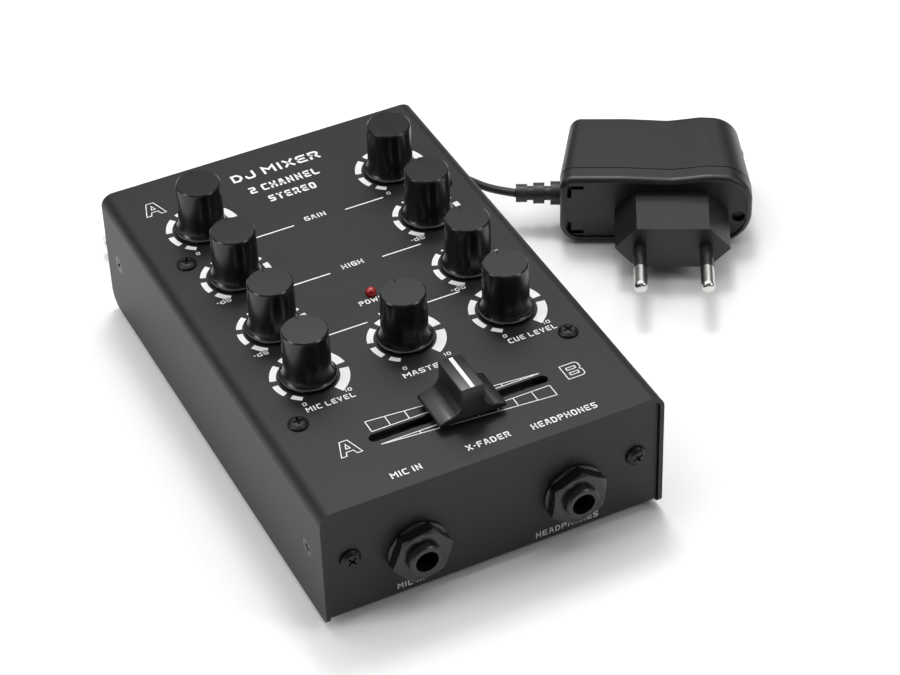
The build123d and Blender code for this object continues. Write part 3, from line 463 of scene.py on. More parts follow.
class Form:
    """A mesh under construction, in millimetres, with a map that follows turned surfaces."""

    def __init__(self) -> None:
        """Start empty."""
        self.mesh = bmesh.new()
        self.map = self.mesh.loops.layers.uv.new(TURNED)

    def turn(self, profile: list[Flat], place: Matrix, steps: int = 64, finish: int = 0) -> None:
        """Spin a profile round an axis.

        Args:
            profile: Radius and height of each point, counter-clockwise seen with the axis on the left.
            place: Where the axis stands.
            steps: How many sides the turned form has.
            finish: Which of the piece's finishes it wears.
        """
        rings: list[list[bmesh.types.BMVert]] = []
        run: list[float] = [0.0]
        for before, after in zip(profile, profile[1:]):
            run.append(run[-1] + math.dist(before, after))
        for radius, height in profile:
            if radius < 1e-6:
                rings.append([self.mesh.verts.new(place @ Vector((0, 0, height)))])
                continue
            circle = arc(radius, 0.0, math.tau, steps)[:-1]
            rings.append([self.mesh.verts.new(place @ Vector((*spot, height))) for spot in circle])
        for one, (low, high) in enumerate(zip(rings, rings[1:])):
            two = one + 1
            if len(low) == len(high) == 1:
                continue
            for step in range(steps):
                after = (step + 1) % steps
                spots = [(low[step % len(low)], step, one), (low[after % len(low)], step + 1, one)]
                spots += [(high[after % len(high)], step + 1, two), (high[step % len(high)], step, two)]
                corners = [spots[0]] + [b for a, b in zip(spots, spots[1:]) if b[0] is not a[0]]
                if corners[0][0] is corners[-1][0]:
                    corners.pop()
                face = self.mesh.faces.new([corner[0] for corner in corners])
                face.material_index = finish
                for loop, corner in zip(face.loops, corners):
                    loop[self.map].uv = (corner[1] / steps, run[corner[2]])

    def prism(self, outline: list[Flat], low: float, high: float, place: Matrix, finish: int = 0) -> None:
        """Raise a counter-clockwise outline from one height to another."""
        floor = [self.mesh.verts.new(place @ Vector((x, y, low))) for x, y in outline]
        roof = [self.mesh.verts.new(place @ Vector((x, y, high))) for x, y in outline]
        faces = [self.mesh.faces.new(list(reversed(floor))), self.mesh.faces.new(roof)]
        for index in range(len(outline)):
            after = (index + 1) % len(outline)
            faces.append(self.mesh.faces.new((floor[index], floor[after], roof[after], roof[index])))
        for face in faces:
            face.material_index = finish

    def patch(self, outline: list[Flat], place: Matrix, finish: int = 0) -> None:
        """Lay one flat counter-clockwise face."""
        corners = [self.mesh.verts.new(place @ Vector((x, y, 0))) for x, y in outline]
        self.mesh.faces.new(corners).material_index = finish

    def ribbon(self, line: list[Flat], width: float, place: Matrix) -> None:
        """Lay a flat line of even width along points, mitred at its corners, closed if its ends meet."""
        points = [Vector(point) for point in line]
        closed = (points[0] - points[-1]).length < 1e-6
        if closed:
            points.pop()
        sides = []
        for index, point in enumerate(points):
            before = points[index - 1] if closed or index else None
            after = points[(index + 1) % len(points)] if closed or index < len(points) - 1 else None
            spans = ((point - before) if before else None, (after - point) if after else None)
            ways = [span.normalized() for span in spans if span]
            normals = [Vector((-way.y, way.x)) for way in ways]
            mitre = sum(normals, Vector((0, 0))).normalized()
            reach = width / 2 / max(0.45, mitre.dot(normals[0]))
            slide = Vector((0, 0))
            if not closed and len(ways) == 1:
                slide = ways[0] * (width / 2 if index else -width / 2)
            sides.append((point + slide + mitre * reach, point + slide - mitre * reach))
        pairs = list(zip(sides, sides[1:])) + ([(sides[-1], sides[0])] if closed else [])
        for (left, right), (next_left, next_right) in pairs:
            self.patch([spot.to_tuple() for spot in (right, next_right, next_left, left)], place)

    def soften(self, width: float, angle: float = 30.0, segments: int = 2) -> None:
        """Round every edge sharper than an angle."""
        limit = math.radians(angle)
        self.mesh.normal_update()
        edges = [e for e in self.mesh.edges if len(e.link_faces) == 2 and e.calc_face_angle(0) > limit]
        rule = {"segments": segments, "affect": "EDGES", "profile": 0.5, "clamp_overlap": True}
        bmesh.ops.bevel(self.mesh, geom=edges, offset=width, **rule)

    def weld(self) -> None:
        """Join points that lie on each other."""
        bmesh.ops.remove_doubles(self.mesh, verts=self.mesh.verts, dist=MERGE)

    def take(self, other: bpy.types.Mesh) -> None:
        """Take in a finished mesh that is already in metres."""
        start = len(self.mesh.verts)
        self.mesh.from_mesh(other)
        self.mesh.verts.ensure_lookup_table()
        for vert in list(self.mesh.verts)[start:]:
            vert.co = vert.co / MM

    def draft(self, name: str) -> bpy.types.Object:
        """Make the form an object of its own, in metres, shown nowhere yet."""
        mesh = bpy.data.meshes.new(name)
        self.mesh.to_mesh(mesh)
        self.mesh.free()
        mesh.transform(Matrix.Scale(MM, 4))
        return bpy.data.objects.new(name, mesh)


def cut(piece: bpy.types.Object, tool: bpy.types.Object, keep: str = "DIFFERENCE") -> bpy.types.Object:
    """Cut one draft with another.

    Args:
        piece: The draft that is cut.
        tool: The draft that cuts it, which is used up.
        keep: The Boolean modifier's operation.

    Returns:
        The cut draft, a plain mesh.
    """
    for each in (piece, tool):
        bpy.context.scene.collection.objects.link(each)
    step = piece.modifiers.new("cut", "BOOLEAN")
    step.object, step.operation, step.solver = tool, keep, "EXACT"
    ready = piece.evaluated_get(bpy.context.evaluated_depsgraph_get())
    mesh = bpy.data.meshes.new_from_object(ready)
    name = piece.name
    for each in (piece, tool):
        bpy.data.objects.remove(each)
    return bpy.data.objects.new(name, mesh)


@dataclass(frozen=True)
class Tag:
    """What a finished piece is: its name, the body it rides on, its slot and the nodes it stands for."""

    name: str
    body: str
    slot: str
    nodes: tuple[str, ...] = ()


def settle(
    draft: bpy.types.Object,
    tag: Tag,
    finishes: list[Dress],
    crease: float = 32.0,
) -> bpy.types.Object:
    """Dress a draft and put it on its body.

    Args:
        draft: The mesh object.
        tag: Its name, body, slot and the nodes that it stands for.
        finishes: Its finishes, in the order of its faces' numbers.
        crease: The angle above which an edge stays sharp, in degrees.

    Returns:
        The finished piece.
    """
    mesh = draft.data
    draft.name = mesh.name = tag.name
    mesh.materials.clear()
    for dress in finishes:
        mesh.materials.append(PALETTE.get(dress))
    mesh.polygons.foreach_set("use_smooth", [True] * len(mesh.polygons))
    mesh.set_sharp_from_angle(angle=math.radians(crease))
    mesh.validate()
    if draft.name not in bpy.context.scene.collection.objects:
        bpy.context.scene.collection.objects.link(draft)
    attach(draft, tag.body)
    if tag.nodes:
        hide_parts(*tag.nodes)
    log.info("piece %s rides %s, %d faces", tag.name, tag.body, len(mesh.polygons))
    return draft


# ------------------------------------------------------------------ geometry nodes


class Recipe(NodeTree):
    """A Geometry Nodes tree under construction, with named inputs for its sizes."""

    def __init__(self, name: str) -> None:
        """Start a tree that takes a mesh and gives a mesh."""
        super().__init__(bpy.data.node_groups.new(name, "GeometryNodeTree"))
        self.tree.interface.new_socket("Geometry", in_out="INPUT", socket_type="NodeSocketGeometry")
        self.tree.interface.new_socket("Geometry", in_out="OUTPUT", socket_type="NodeSocketGeometry")
        self.entry = self.tree.nodes.new("NodeGroupInput")
        self.keys: dict[str, str] = {}

    def size(self, name: str, kind: str = "NodeSocketFloat") -> Socket:
        """Add a named input and return its socket inside the tree."""
        item = self.tree.interface.new_socket(name, in_out="INPUT", socket_type=kind)
        self.keys[name] = item.identifier
        return self.entry.outputs[name]

    def calc(self, operation: str, *values: Socket | float) -> Socket:
        """A sum of one to three values."""
        return self.node("ShaderNodeMath", dict(enumerate(values)), operation=operation).outputs[0]

    def point(self, x: Socket | float, y: Socket | float, z: Socket | float = 0.0) -> Socket:
        """A point from its three numbers."""
        return self.node("ShaderNodeCombineXYZ", {"X": x, "Y": y, "Z": z}).outputs[0]

    def parts(self) -> tuple[Socket, Socket, Socket]:
        """The three numbers of each point's own place."""
        place = self.node("GeometryNodeInputPosition").outputs[0]
        split = self.node("ShaderNodeSeparateXYZ", {0: place})
        return split.outputs[0], split.outputs[1], split.outputs[2]

    def stored(self, name: str, kind: str) -> Socket:
        """What each seat stores under a name."""
        return self.node("GeometryNodeInputNamedAttribute", {"Name": name}, data_type=kind).outputs[0]

    def move(self, geometry: Socket, place: Socket) -> Socket:
        """Set each point's place."""
        return self.node("GeometryNodeSetPosition", {"Geometry": geometry, "Position": place}).outputs[0]

    def strew(self, instance: Socket, scale: Socket | float = 1.0) -> Socket:
        """Put an instance on each incoming point, facing the way that the point says."""
        facing = self.stored("facing", "FLOAT_VECTOR")
        spin = self.stored("spin", "FLOAT")
        aim = self.node("FunctionNodeAlignRotationToVector", {"Vector": facing}, axis="Z").outputs[0]
        twist = self.node("FunctionNodeAxisAngleToRotation", {"Angle": spin}).outputs[0]
        turn = self.node("FunctionNodeRotateRotation", {0: aim, 1: twist}, rotation_space="LOCAL").outputs[0]
        inputs = {"Points": self.entry.outputs["Geometry"], "Instance": instance, "Rotation": turn}
        made = self.node("GeometryNodeInstanceOnPoints", inputs)
        if isinstance(scale, Socket):
            self.tree.links.new(scale, made.inputs["Scale"])
        return made.outputs[0]

    def close(self, geometry: Socket, dress: Dress) -> "Recipe":
        """End the tree: real meshes, their material, and out."""
        real = self.node("GeometryNodeRealizeInstances", {"Geometry": geometry}).outputs[0]
        inputs = {"Geometry": real, "Material": PALETTE.get(dress)}
        worn = self.node("GeometryNodeSetMaterial", inputs).outputs[0]
        self.tree.links.new(worn, self.tree.nodes.new("NodeGroupOutput").inputs[0])
        return self

    def make(self, seats: bpy.types.Mesh, sizes: dict[str, object]) -> bpy.types.Object:
        """Run the tree once.

        Args:
            seats: The mesh whose points the tree works from.
            sizes: A value for each named input.

        Returns:
            A draft that is a plain mesh.
        """
        host = bpy.data.objects.new("host", seats)
        bpy.context.scene.collection.objects.link(host)
        step = host.modifiers.new("recipe", "NODES")
        step.node_group = self.tree
        for name, value in sizes.items():
            step[self.keys[name]] = value
        bpy.context.view_layer.update()
        ready = host.evaluated_get(bpy.context.evaluated_depsgraph_get())
        mesh = bpy.data.meshes.new_from_object(ready)
        host.modifiers.remove(step)
        bpy.data.objects.remove(host)
        return bpy.data.objects.new("draft", mesh)


def seats_mesh(places: list[Seat]) -> bpy.types.Mesh:
    """A mesh of loose points, each with the way it faces and its spin in degrees, from millimetres."""
    mesh = bpy.data.meshes.new("seats")
    mesh.from_pydata([Vector(origin) * MM for origin, _, _ in places], [], [])
    facing = mesh.attributes.new("facing", "FLOAT_VECTOR", "POINT")
    facing.data.foreach_set("vector", [part for _, way, _ in places for part in way])
    spin = mesh.attributes.new("spin", "FLOAT", "POINT")
    spin.data.foreach_set("value", [math.radians(turn) for _, _, turn in places])
    return mesh


def strewn(name: str, draft: bpy.types.Object, places: list[Seat], dress: Dress) -> bpy.types.Object:
    """Copies of one draft on a set of seats, made by a tree whose inputs are the draft and its scale.

    Args:
        name: The tree's name.
        draft: The piece to copy, which is used up.
        places: The seats.
        dress: The copies' finish.

    Returns:
        A draft that holds every copy.
    """
    recipe = Recipe(name)
    shape = recipe.size("Shape", "NodeSocketObject")
    scale = recipe.size("Scale")
    source = recipe.node("GeometryNodeObjectInfo", {"Object": shape}, transform_space="ORIGINAL")
    recipe.close(recipe.strew(source.outputs["Geometry"], scale), dress)
    bpy.context.scene.collection.objects.link(draft)
    made = recipe.make(seats_mesh(places), {"Shape": draft, "Scale": 1.0})
    bpy.data.objects.remove(draft)
    return made


# ------------------------------------------------------------------ printing

GLYPH_GRID = 6
GLYPHS: dict[str, str] = {
    "A": "00 26 46 60|12 52",
    "B": "00 06 56 65 64 53 03|53 62 61 50 00",
    "C": "66 16 05 01 10 60",
    "D": "00 06 46 64 62 40 00",
    "E": "66 16 05 01 10 60|03 53",
    "F": "00 05 16 66|03 53",
    "G": "66 16 05 01 10 60 63 33",
    "H": "00 06|60 66|03 63",
    "I": "30 36",
    "J": "02 10 50 61 66",
    "K": "00 06|66 33 03|33 60",
    "L": "06 01 10 60",
    "M": "00 06 33 66 60",
    "N": "00 06 60 66",
    "O": "30 10 01 05 16 56 65 61 50 30",
    "P": "00 06 56 65 64 53 03",
    "R": "00 06 56 65 64 53 03|33 60",
    "S": "66 16 05 04 13 53 62 61 50 00",
    "T": "06 66|30 36",
    "U": "06 01 10 50 61 66",
    "V": "06 30 66",
    "W": "06 10 34 50 66",
    "X": "00 66|06 60",
    "Y": "06 33 66|33 30",
    "0": "30 10 01 05 16 56 65 61 50 30",
    "1": "05 26 20",
    "2": "06 56 65 64 53 13 02 00 60",
    "d": "66 60 10 01 03 14 64",
    "-": "13 53",
}
NARROW = {"I": 0.35, "1": 0.5, "-": 0.42, " ": 0.25, "M": 1.25, "W": 1.35}


class Align(Enum):
    """Which part of a word its place gives."""

    LEFT = 0.0
    MIDDLE = 0.5


@dataclass(frozen=True)
class Word:
    """A printed word: its text, place, height, the width of a full letter, and its stroke."""

    text: str
    x: float
    y: float
    height: float = 1.9
    letter: float = 1.45
    stroke: float = 0.34
    align: Align = Align.MIDDLE
    gap: float = 0.42

    def width(self) -> float:
        """How long the word is, stroke included."""
        steps = [self.letter * NARROW.get(sign, 1.0) for sign in self.text]
        return sum(steps) + self.gap * (len(steps) - 1)

    def lay(self, form: Form, place: Matrix) -> None:
        """Lay the word's strokes on a form."""
        left = self.x - self.align.value * self.width()
        foot = self.y - self.height / 2
        for sign in self.text:
            wide = self.letter * NARROW.get(sign, 1.0)
            across = (wide - self.stroke) / GLYPH_GRID
            up = (self.height - self.stroke) / GLYPH_GRID
            for stroke in filter(None, GLYPHS.get(sign, "").split("|")):
                spots = [(int(pair[0]), int(pair[1])) for pair in stroke.split()]
                x0, y0 = left + self.stroke / 2, foot + self.stroke / 2
                form.ribbon([(x0 + x * across, y0 + y * up) for x, y in spots], self.stroke, place)
            left += wide + self.gap


def outline_letter(form: Form, sign: str, low: Flat, high: Flat, stroke: float, place: Matrix) -> None:
    """Lay a hollow capital, A or B, that fills a box.

    Args:
        form: The form that takes its lines.
        sign: Which letter.
        low: The box's lower left corner.
        high: The box's upper right corner.
        stroke: The width of its lines.
        place: The plane that it lies on.
    """
    shapes = {
        "A": [
            [(0, 0), (1.9, 6), (4.1, 6), (6, 0), (4.5, 0), (4.0, 1.5), (2.0, 1.5), (1.5, 0), (0, 0)],
            [(2.4, 2.7), (3.6, 2.7), (3.0, 4.6), (2.4, 2.7)],
        ],
        "B": [
            [(0, 0), (0, 6), (5.2, 6), (6, 5.3), (6, 3.6), (5.4, 3), (6, 2.4), (6, 0.7), (5.2, 0), (0, 0)],
            [(1.5, 1.4), (1.5, 2.4), (4.5, 2.4), (4.5, 1.4), (1.5, 1.4)],
            [(1.5, 3.6), (1.5, 4.6), (4.5, 4.6), (4.5, 3.6), (1.5, 3.6)],
        ],
    }
    for shape in shapes[sign]:
        across, up = [(end - start) / GLYPH_GRID for start, end in zip(low, high)]
        form.ribbon([(low[0] + x * across, low[1] + y * up) for x, y in shape], stroke, place)


@dataclass
class TopPrinting:
    """The white printing on the control panel: dials, rules, words and the crossfader's wedges."""

    lift: float = 0.03
    cuts: int = 72
    levels: tuple[Flat, ...] = ((-28.8, 46.9), (28.8, 46.9), (-28.8, -24.2), (28.8, -24.2), (0.0, -22.2))
    tones: tuple[Flat, ...] = ((-28.8, 22.8), (28.8, 22.8), (-28.8, -2.0), (28.8, -2.0))
    rule: float = 0.42
    rule_rows: tuple[float, ...] = (36.0, 11.9, -11.7)
    rule_spans: tuple[Flat, ...] = ((-17.6, -6.2), (9.8, 21.0))
    thin: float = 0.26
    letters: tuple[tuple[str, Flat, Flat], ...] = (
        ("A", (-40.5, 58.9), (-34.7, 64.5)),
        ("B", (35.0, 58.9), (40.4, 64.5)),
        ("A", (-34.4, -57.1), (-28.6, -51.5)),
        ("B", (29.9, -57.3), (34.9, -51.8)),
    )
    digit_drop: float = 9.8
    digit_drop_middle: float = 11.1
    dot: float = 0.36
    dot_out: float = 3.75
    dot_up: float = 8.5

    def ring_recipe(self) -> Recipe:
        """The tree of a dial: segments round a centre, each a little longer than the last."""
        tree = Recipe("dial ring")
        angles = ("Count", "First angle", "Step", "Growth", "Gap", "Last angle")
        radii = ("Inner radius", "First outer radius", "Last outer radius", "Side")
        count, first, step, growth, gap, last = [tree.size(name) for name in angles]
        inner, small, large, side = [tree.size(name) for name in radii]
        grid = {"Size X": 1.0, "Size Y": 1.0, "Vertices X": self.cuts + 1, "Vertices Y": 2}
        strip = tree.node("GeometryNodeMeshGrid", grid).outputs["Mesh"]
        across, up, _ = tree.parts()
        travel = tree.calc("MULTIPLY", tree.calc("ADD", across, 0.5), count)
        share = tree.calc("FRACT", travel)
        spare = tree.calc("SUBTRACT", 1.0, tree.calc("MULTIPLY", count, 1 / self.cuts))
        past = {"data_type": "FLOAT", "operation": "GREATER_THAN"}
        gaps = tree.node("FunctionNodeCompare", {0: share, 1: spare}, **past).outputs[0]
        inputs = {"Geometry": strip, "Selection": gaps}
        kept = tree.node("GeometryNodeDeleteGeometry", inputs, domain="FACE").outputs[0]
        number = tree.calc("FLOOR", tree.calc("ADD", travel, MERGE))
        fraction = tree.calc("DIVIDE", tree.calc("SUBTRACT", travel, number), spare)

        def start(of: Socket) -> Socket:
            """The angle at which a segment starts."""
            linear = tree.calc("MULTIPLY_ADD", of, step, first)
            return tree.calc("MULTIPLY_ADD", tree.calc("MULTIPLY", of, of), growth, linear)

        begin = start(number)
        following = start(tree.calc("ADD", number, 1.0))
        finish = tree.calc("MINIMUM", tree.calc("SUBTRACT", following, gap), last)
        part = tree.calc("MINIMUM", fraction, 1.0)
        angle = tree.calc("MULTIPLY_ADD", part, tree.calc("SUBTRACT", finish, begin), begin)
        turned = tree.calc("RADIANS", tree.calc("MULTIPLY", angle, side))
        way = tree.calc("DIVIDE", tree.calc("SUBTRACT", angle, first), tree.calc("SUBTRACT", last, first))
        outer = tree.calc("MULTIPLY_ADD", way, tree.calc("SUBTRACT", large, small), small)
        out = tree.calc("ADD", up, 0.5)
        radius = tree.calc("MULTIPLY_ADD", out, tree.calc("SUBTRACT", outer, inner), inner)
        x = tree.calc("MULTIPLY", radius, tree.calc("SINE", turned))
        y = tree.calc("MULTIPLY", radius, tree.calc("COSINE", turned))
        return tree.close(tree.strew(tree.move(kept, tree.point(x, y))), Dress.PRINT)

    def wedge_recipe(self) -> Recipe:
        """The tree of a crossfader wedge: a base line, a sloping line and upright dividers."""
        tree = Recipe("fader wedge")
        names = ("Length", "Tall end", "Short end", "Divisions", "Line")
        length, tall, short, count, line = [tree.size(name) for name in names]
        across, up, _ = tree.parts()
        slope = tree.calc("DIVIDE", tree.calc("SUBTRACT", short, tall), length)
        reach = tree.calc("MULTIPLY", across, tree.calc("ADD", length, line))
        along = tree.calc("ADD", reach, tree.calc("MULTIPLY", length, 0.5))
        height = tree.calc("MULTIPLY_ADD", along, slope, tall)
        unit = {"Size X": 1.0, "Size Y": 1.0, "Vertices X": 2, "Vertices Y": 2}
        base = tree.node("GeometryNodeMeshGrid", unit).outputs["Mesh"]
        level = tree.move(base, tree.point(along, tree.calc("MULTIPLY", up, line)))
        leaning = tree.move(base, tree.point(along, tree.calc("MULTIPLY_ADD", up, line, height)))
        number = tree.node("GeometryNodeInputIndex").outputs[0]
        spot = tree.calc("MULTIPLY", tree.calc("DIVIDE", number, count), length)
        stations = tree.node("GeometryNodeMeshLine", {"Count": tree.calc("ADD", count, 1.0)}).outputs["Mesh"]
        tallness = tree.calc("MULTIPLY_ADD", spot, slope, tall)
        placed = tree.move(stations, tree.point(spot, tree.calc("MULTIPLY", tallness, 0.5)))
        stretch = tree.point(line, tree.calc("MAXIMUM", tallness, line), 1.0)
        bars = {"Points": placed, "Instance": base, "Scale": stretch}
        dividers = tree.node("GeometryNodeInstanceOnPoints", bars).outputs[0]
        joined = tree.node("GeometryNodeJoinGeometry")
        for part in (level, leaning, dividers):
            tree.tree.links.new(part, joined.inputs[0])
        return tree.close(tree.strew(joined.outputs[0]), Dress.PRINT)

    def dials(self, top: float) -> list[bpy.types.Mesh]:
        """Run the ring tree for the level dials and for both sides of the tone dials."""
        recipe = self.ring_recipe()
        both = {"First angle": -147.0, "Gap": 12.0, "Inner radius": 8.35 * MM, "Side": 1.0}
        level = both | {"Count": 6.0, "Step": 26.5, "Growth": 4.5, "Last angle": 150.0}
        level |= {"First outer radius": 9.75 * MM, "Last outer radius": 11.1 * MM}
        tone = both | {"Count": 3.0, "Step": 38.0, "Growth": 1.0, "Last angle": -36.0}
        tone |= {"First outer radius": 9.95 * MM, "Last outer radius": 9.95 * MM}
        made = []
        for places, sizes in ((self.levels, level), (self.tones, tone), (self.tones, tone | {"Side": -1.0})):
            seats = seats_mesh([((x, y, top), UP_WAY, 0.0) for x, y in places])
            made.append(recipe.make(seats, sizes).data)
        return made

    def wedges(self, top: float) -> list[bpy.types.Mesh]:
        """Run the wedge tree for the wedge behind the slot and the one in front of it."""
        recipe = self.wedge_recipe()
        sizes = {"Length": 47.8 * MM, "Tall end": 4.2 * MM, "Short end": 0.1 * MM}
        sizes |= {"Divisions": 9.0, "Line": self.thin * MM}
        rear = seats_mesh([((-23.5, -51.6, top), UP_WAY, 0.0)])
        front = seats_mesh([((24.4, -57.0, top), UP_WAY, 180.0)])
        return [recipe.make(rear, sizes).data, recipe.make(front, sizes).data]

    def words(self) -> list[Word]:
        """Every word on the panel."""
        small = {"height": 1.75, "letter": 1.4, "stroke": 0.31, "gap": 0.36}
        digit = {"height": 1.25, "letter": 1.1, "stroke": 0.24, "gap": 0.22}
        words = [
            Word("DJ MIXER", 0.5, 63.6, 3.5, 3.1, 0.72, gap=0.8),
            Word("2 CHANNEL", 0.0, 56.4, 3.0, 1.95, 0.62, gap=0.62),
            Word("STEREO", 0.0, 50.6, 2.9, 1.85, 0.62, gap=0.62),
            Word("GAIN", 0.9, 37.2, 1.9, 1.5),
            Word("HIGH", 1.0, 12.8, 1.9, 1.5),
            Word("LOW", 1.0, -10.6, 1.9, 1.5),
            Word("POWER", -4.7, -3.9, 1.8, 1.35, align=Align.LEFT),
            Word("MIC LEVEL", -28.0, -36.4, 1.85, 1.3),
            Word("CUE LEVEL", 30.2, -36.5, 1.85, 1.3),
            Word("MASTER", -1.0, -36.1, 1.85, 1.62),
            Word("MIC IN", -22.3, -69.0, 2.1, 1.5, 0.38),
            Word("X-FADER", 0.8, -68.6, 2.1, 1.5, 0.38),
            Word("HEADPHONES", 22.1, -69.2, 2.1, 1.48, 0.37),
        ]
        for x, y in self.levels:
            low = y - (self.digit_drop_middle if x == 0 else self.digit_drop)
            words.append(Word("0", x - 5.4, low, **digit))
            words.append(Word("10", x + 6.9, low, **digit))
        for x, y in self.tones:
            words.append(Word("-dB", x - 7.3, y - 8.3, **small))
            words.append(Word("dB", x + 7.3, y - 8.3, **small))
        return words

    def build(self) -> bpy.types.Object:
        """Build the whole print as one piece that lies on the panel."""
        top = box_mm("top_cover")[1].z + self.lift
        form = Form()
        for mesh in self.dials(top) + self.wedges(top):
            form.take(mesh)
        for face in form.mesh.faces:
            if face.normal.z < 0:
                face.normal_flip()
        plane = seat((0, 0, top))
        for word in self.words():
            word.lay(form, plane)
        for y in self.rule_rows:
            for start, end in self.rule_spans:
                form.ribbon([(start, y), (end, y)], self.rule, plane)
        for x, y in self.tones:
            for side in (-1, 1):
                middle = (x + side * self.dot_out, y + self.dot_up)
                form.patch(arc(self.dot, 0.0, math.tau, 12, middle)[:-1], plane)
        for sign, low, high in self.letters:
            outline_letter(form, sign, low, high, self.thin, plane)
        return settle(form.draft("top_printing"), Tag("top_printing", CASE, "insert_white"), [Dress.PRINT])


@dataclass
class EndPrinting:
    """The grey printing on the front panel and on the rear panel."""

    lift: float = 0.03
    base: float = 5.6
    sockets: dict[str, float] = field(default_factory=lambda: {"MASTER": -16.0, "CH A": 28.0, "CH B": 6.0})

    def build(self) -> list[bpy.types.Object]:
        """Build each panel's print as a piece."""
        front = box_mm("jack_nuts")[1].y - self.lift
        low, high = box_mm("phono_shells")
        form = Form()
        plane = Matrix.Translation((0, front, 0)) @ Matrix.Rotation(QUARTER, 4, "X")
        Word("MIC IN", -28.2, self.base, 1.9, 1.3, 0.34, align=Align.LEFT).lay(form, plane)
        Word("HEADPHONES", 11.5, self.base, 1.9, 1.45, 0.34, align=Align.LEFT).lay(form, plane)
        tag = Tag("front_printing", CASE, "insert_white")
        pieces = [settle(form.draft("print"), tag, [Dress.PRINT_GREY])]
        form = Form()
        rear = box_mm("chassis")[1].y + self.lift
        turned = Matrix.Rotation(2 * QUARTER, 4, "Z") @ Matrix.Rotation(QUARTER, 4, "X")
        plane = Matrix.Translation((0, rear, 0)) @ turned
        for text, x in self.sockets.items():
            Word(text, x, high.z + 3.0, 1.7, 1.2, 0.3, gap=0.32).lay(form, plane)
        for x in self.sockets.values():
            Word("L", x - 6.0, high.z - 4.0, 1.6, 1.2, 0.3).lay(form, plane)
            Word("R", x - 6.0, low.z + 4.0, 1.6, 1.2, 0.3).lay(form, plane)
        inlet = middle_of("power_inlet")
        Word("DC IN", -inlet.x, 5.2, 1.7, 1.2, 0.3, gap=0.32).lay(form, plane)
        tag = Tag("rear_printing", CASE, "insert_white")
        pieces.append(settle(form.draft("print"), tag, [Dress.PRINT_GREY]))
        return pieces


# ------------------------------------------------------------------ controls


@dataclass
class Knob:
    """A gloss black knob: drafted grip, flared skirt, spun top and a pointer notch at the rear."""

    control: str
    rim: float = 0.35
    grip: float = 6.15
    foot: float = 6.35
    flare: float = 4.6
    lip: float = 0.7
    bore: float = 3.2
    deep: float = 9.0
    crest: float = 0.12
    notch: tuple[float, float, float] = (0.55, 1.8, 0.4)
    sides: int = 96

    def build(self) -> bpy.types.Object:
        """Build the knob where its CAD node stands."""
        node = f"knob_{self.control}"
        low, high = box_mm(node)
        skirt = (high.x - low.x) / 2
        tall = high.z - low.z
        place = seat(((low.x + high.x) / 2, (low.y + high.y) / 2, low.z))
        face = self.grip - self.rim - self.crest
        spread, rise = skirt - self.foot, self.flare - self.lip
        side = [(self.bore, self.deep, 0.0), (self.bore, 0.4, 0.0), (self.bore + 0.4, 0.0, 0.0)]
        side += [(skirt - 0.25, 0.0, 0.12), (skirt, 0.2, 0.12), (skirt, self.lip, 0.1)]
        for way in arc(1.0, 0.0, math.pi / 2, 10)[1:]:
            side.append((skirt - spread * way[1], self.lip + rise * (1 - way[0]), 0.0))
        side += [(self.grip + 0.04, tall - 1.2, 0.5), (self.grip, tall - self.rim, 0.08)]
        side += [(self.grip - self.rim, tall, 0.05), (face, tall, 0.0)]
        form = Form()
        form.turn([(0.0, self.deep)] + rounded(side), place, self.sides, 0)
        rings = [face * share for share in (1.0, 0.75, 0.5, 0.25, 0.03)]
        form.turn([(radius, tall) for radius in rings] + [(0.0, tall)], place, self.sides, 1)
        form.weld()
        width, length, depth = self.notch
        tool = Form()
        mark = rectangle((-width / 2, self.grip - length), (width / 2, self.grip + 1))
        tool.prism(mark, tall - depth, tall + 1, place)
        made = cut(form.draft("knob"), tool.draft("notch"))
        tag = Tag(f"{self.control}_knob", self.control, "knob_gloss", (node,))
        return settle(made, tag, [Dress.KNOB, Dress.KNOB_TOP], 24)


@dataclass
class FaderCap:
    """The crossfader's moulded cap: a ridge between two finger scoops, with a white line along it."""

    ridge: float = 6.6
    edge: float = 1.2
    slope: float = 0.8
    scoop: float = 3.6
    round: float = 0.35
    line: float = 1.1
    aside: float = 0.15
    proud: float = 0.02
    sunk: float = 0.1

    def build(self) -> list[bpy.types.Object]:
        """Build the cap and its line on the fader's carriage."""
        low, high = box_mm("crossfader_cap")
        wide, long, tall = high - low
        centre = (low + high) / 2
        brink = self.edge + self.slope
        middle = (self.ridge / 2 + self.scoop, brink + self.scoop)
        hollow = arc(self.scoop, -math.pi / 2, -math.pi, 14, middle)
        right = [(wide / 2, 0.0), (wide / 2, self.edge)] + hollow + [(self.ridge / 2, tall)]
        outline = right + [(-x, z) for x, z in reversed(right)]
        place = Matrix.Translation((centre.x, high.y, low.z)) @ Matrix.Rotation(QUARTER, 4, "X")
        form = Form()
        form.prism(outline, 0.0, long, place)
        form.soften(self.round, 50.0, 3)
        tag = Tag("fader_cap", "crossfader", "fader_cap", ("crossfader_cap",))
        cap = settle(form.draft("cap"), tag, [Dress.CAP], 30)
        form = Form()
        place = seat((centre.x + self.aside, centre.y, high.z))
        half, reach = self.line / 2, long / 2 - self.round
        form.prism(rectangle((-half, -reach), (half, reach)), -self.sunk, self.proud, place)
        line = settle(form.draft("line"), Tag("fader_line", "crossfader", "insert_white"), [Dress.PRINT])
        return [cap, line]


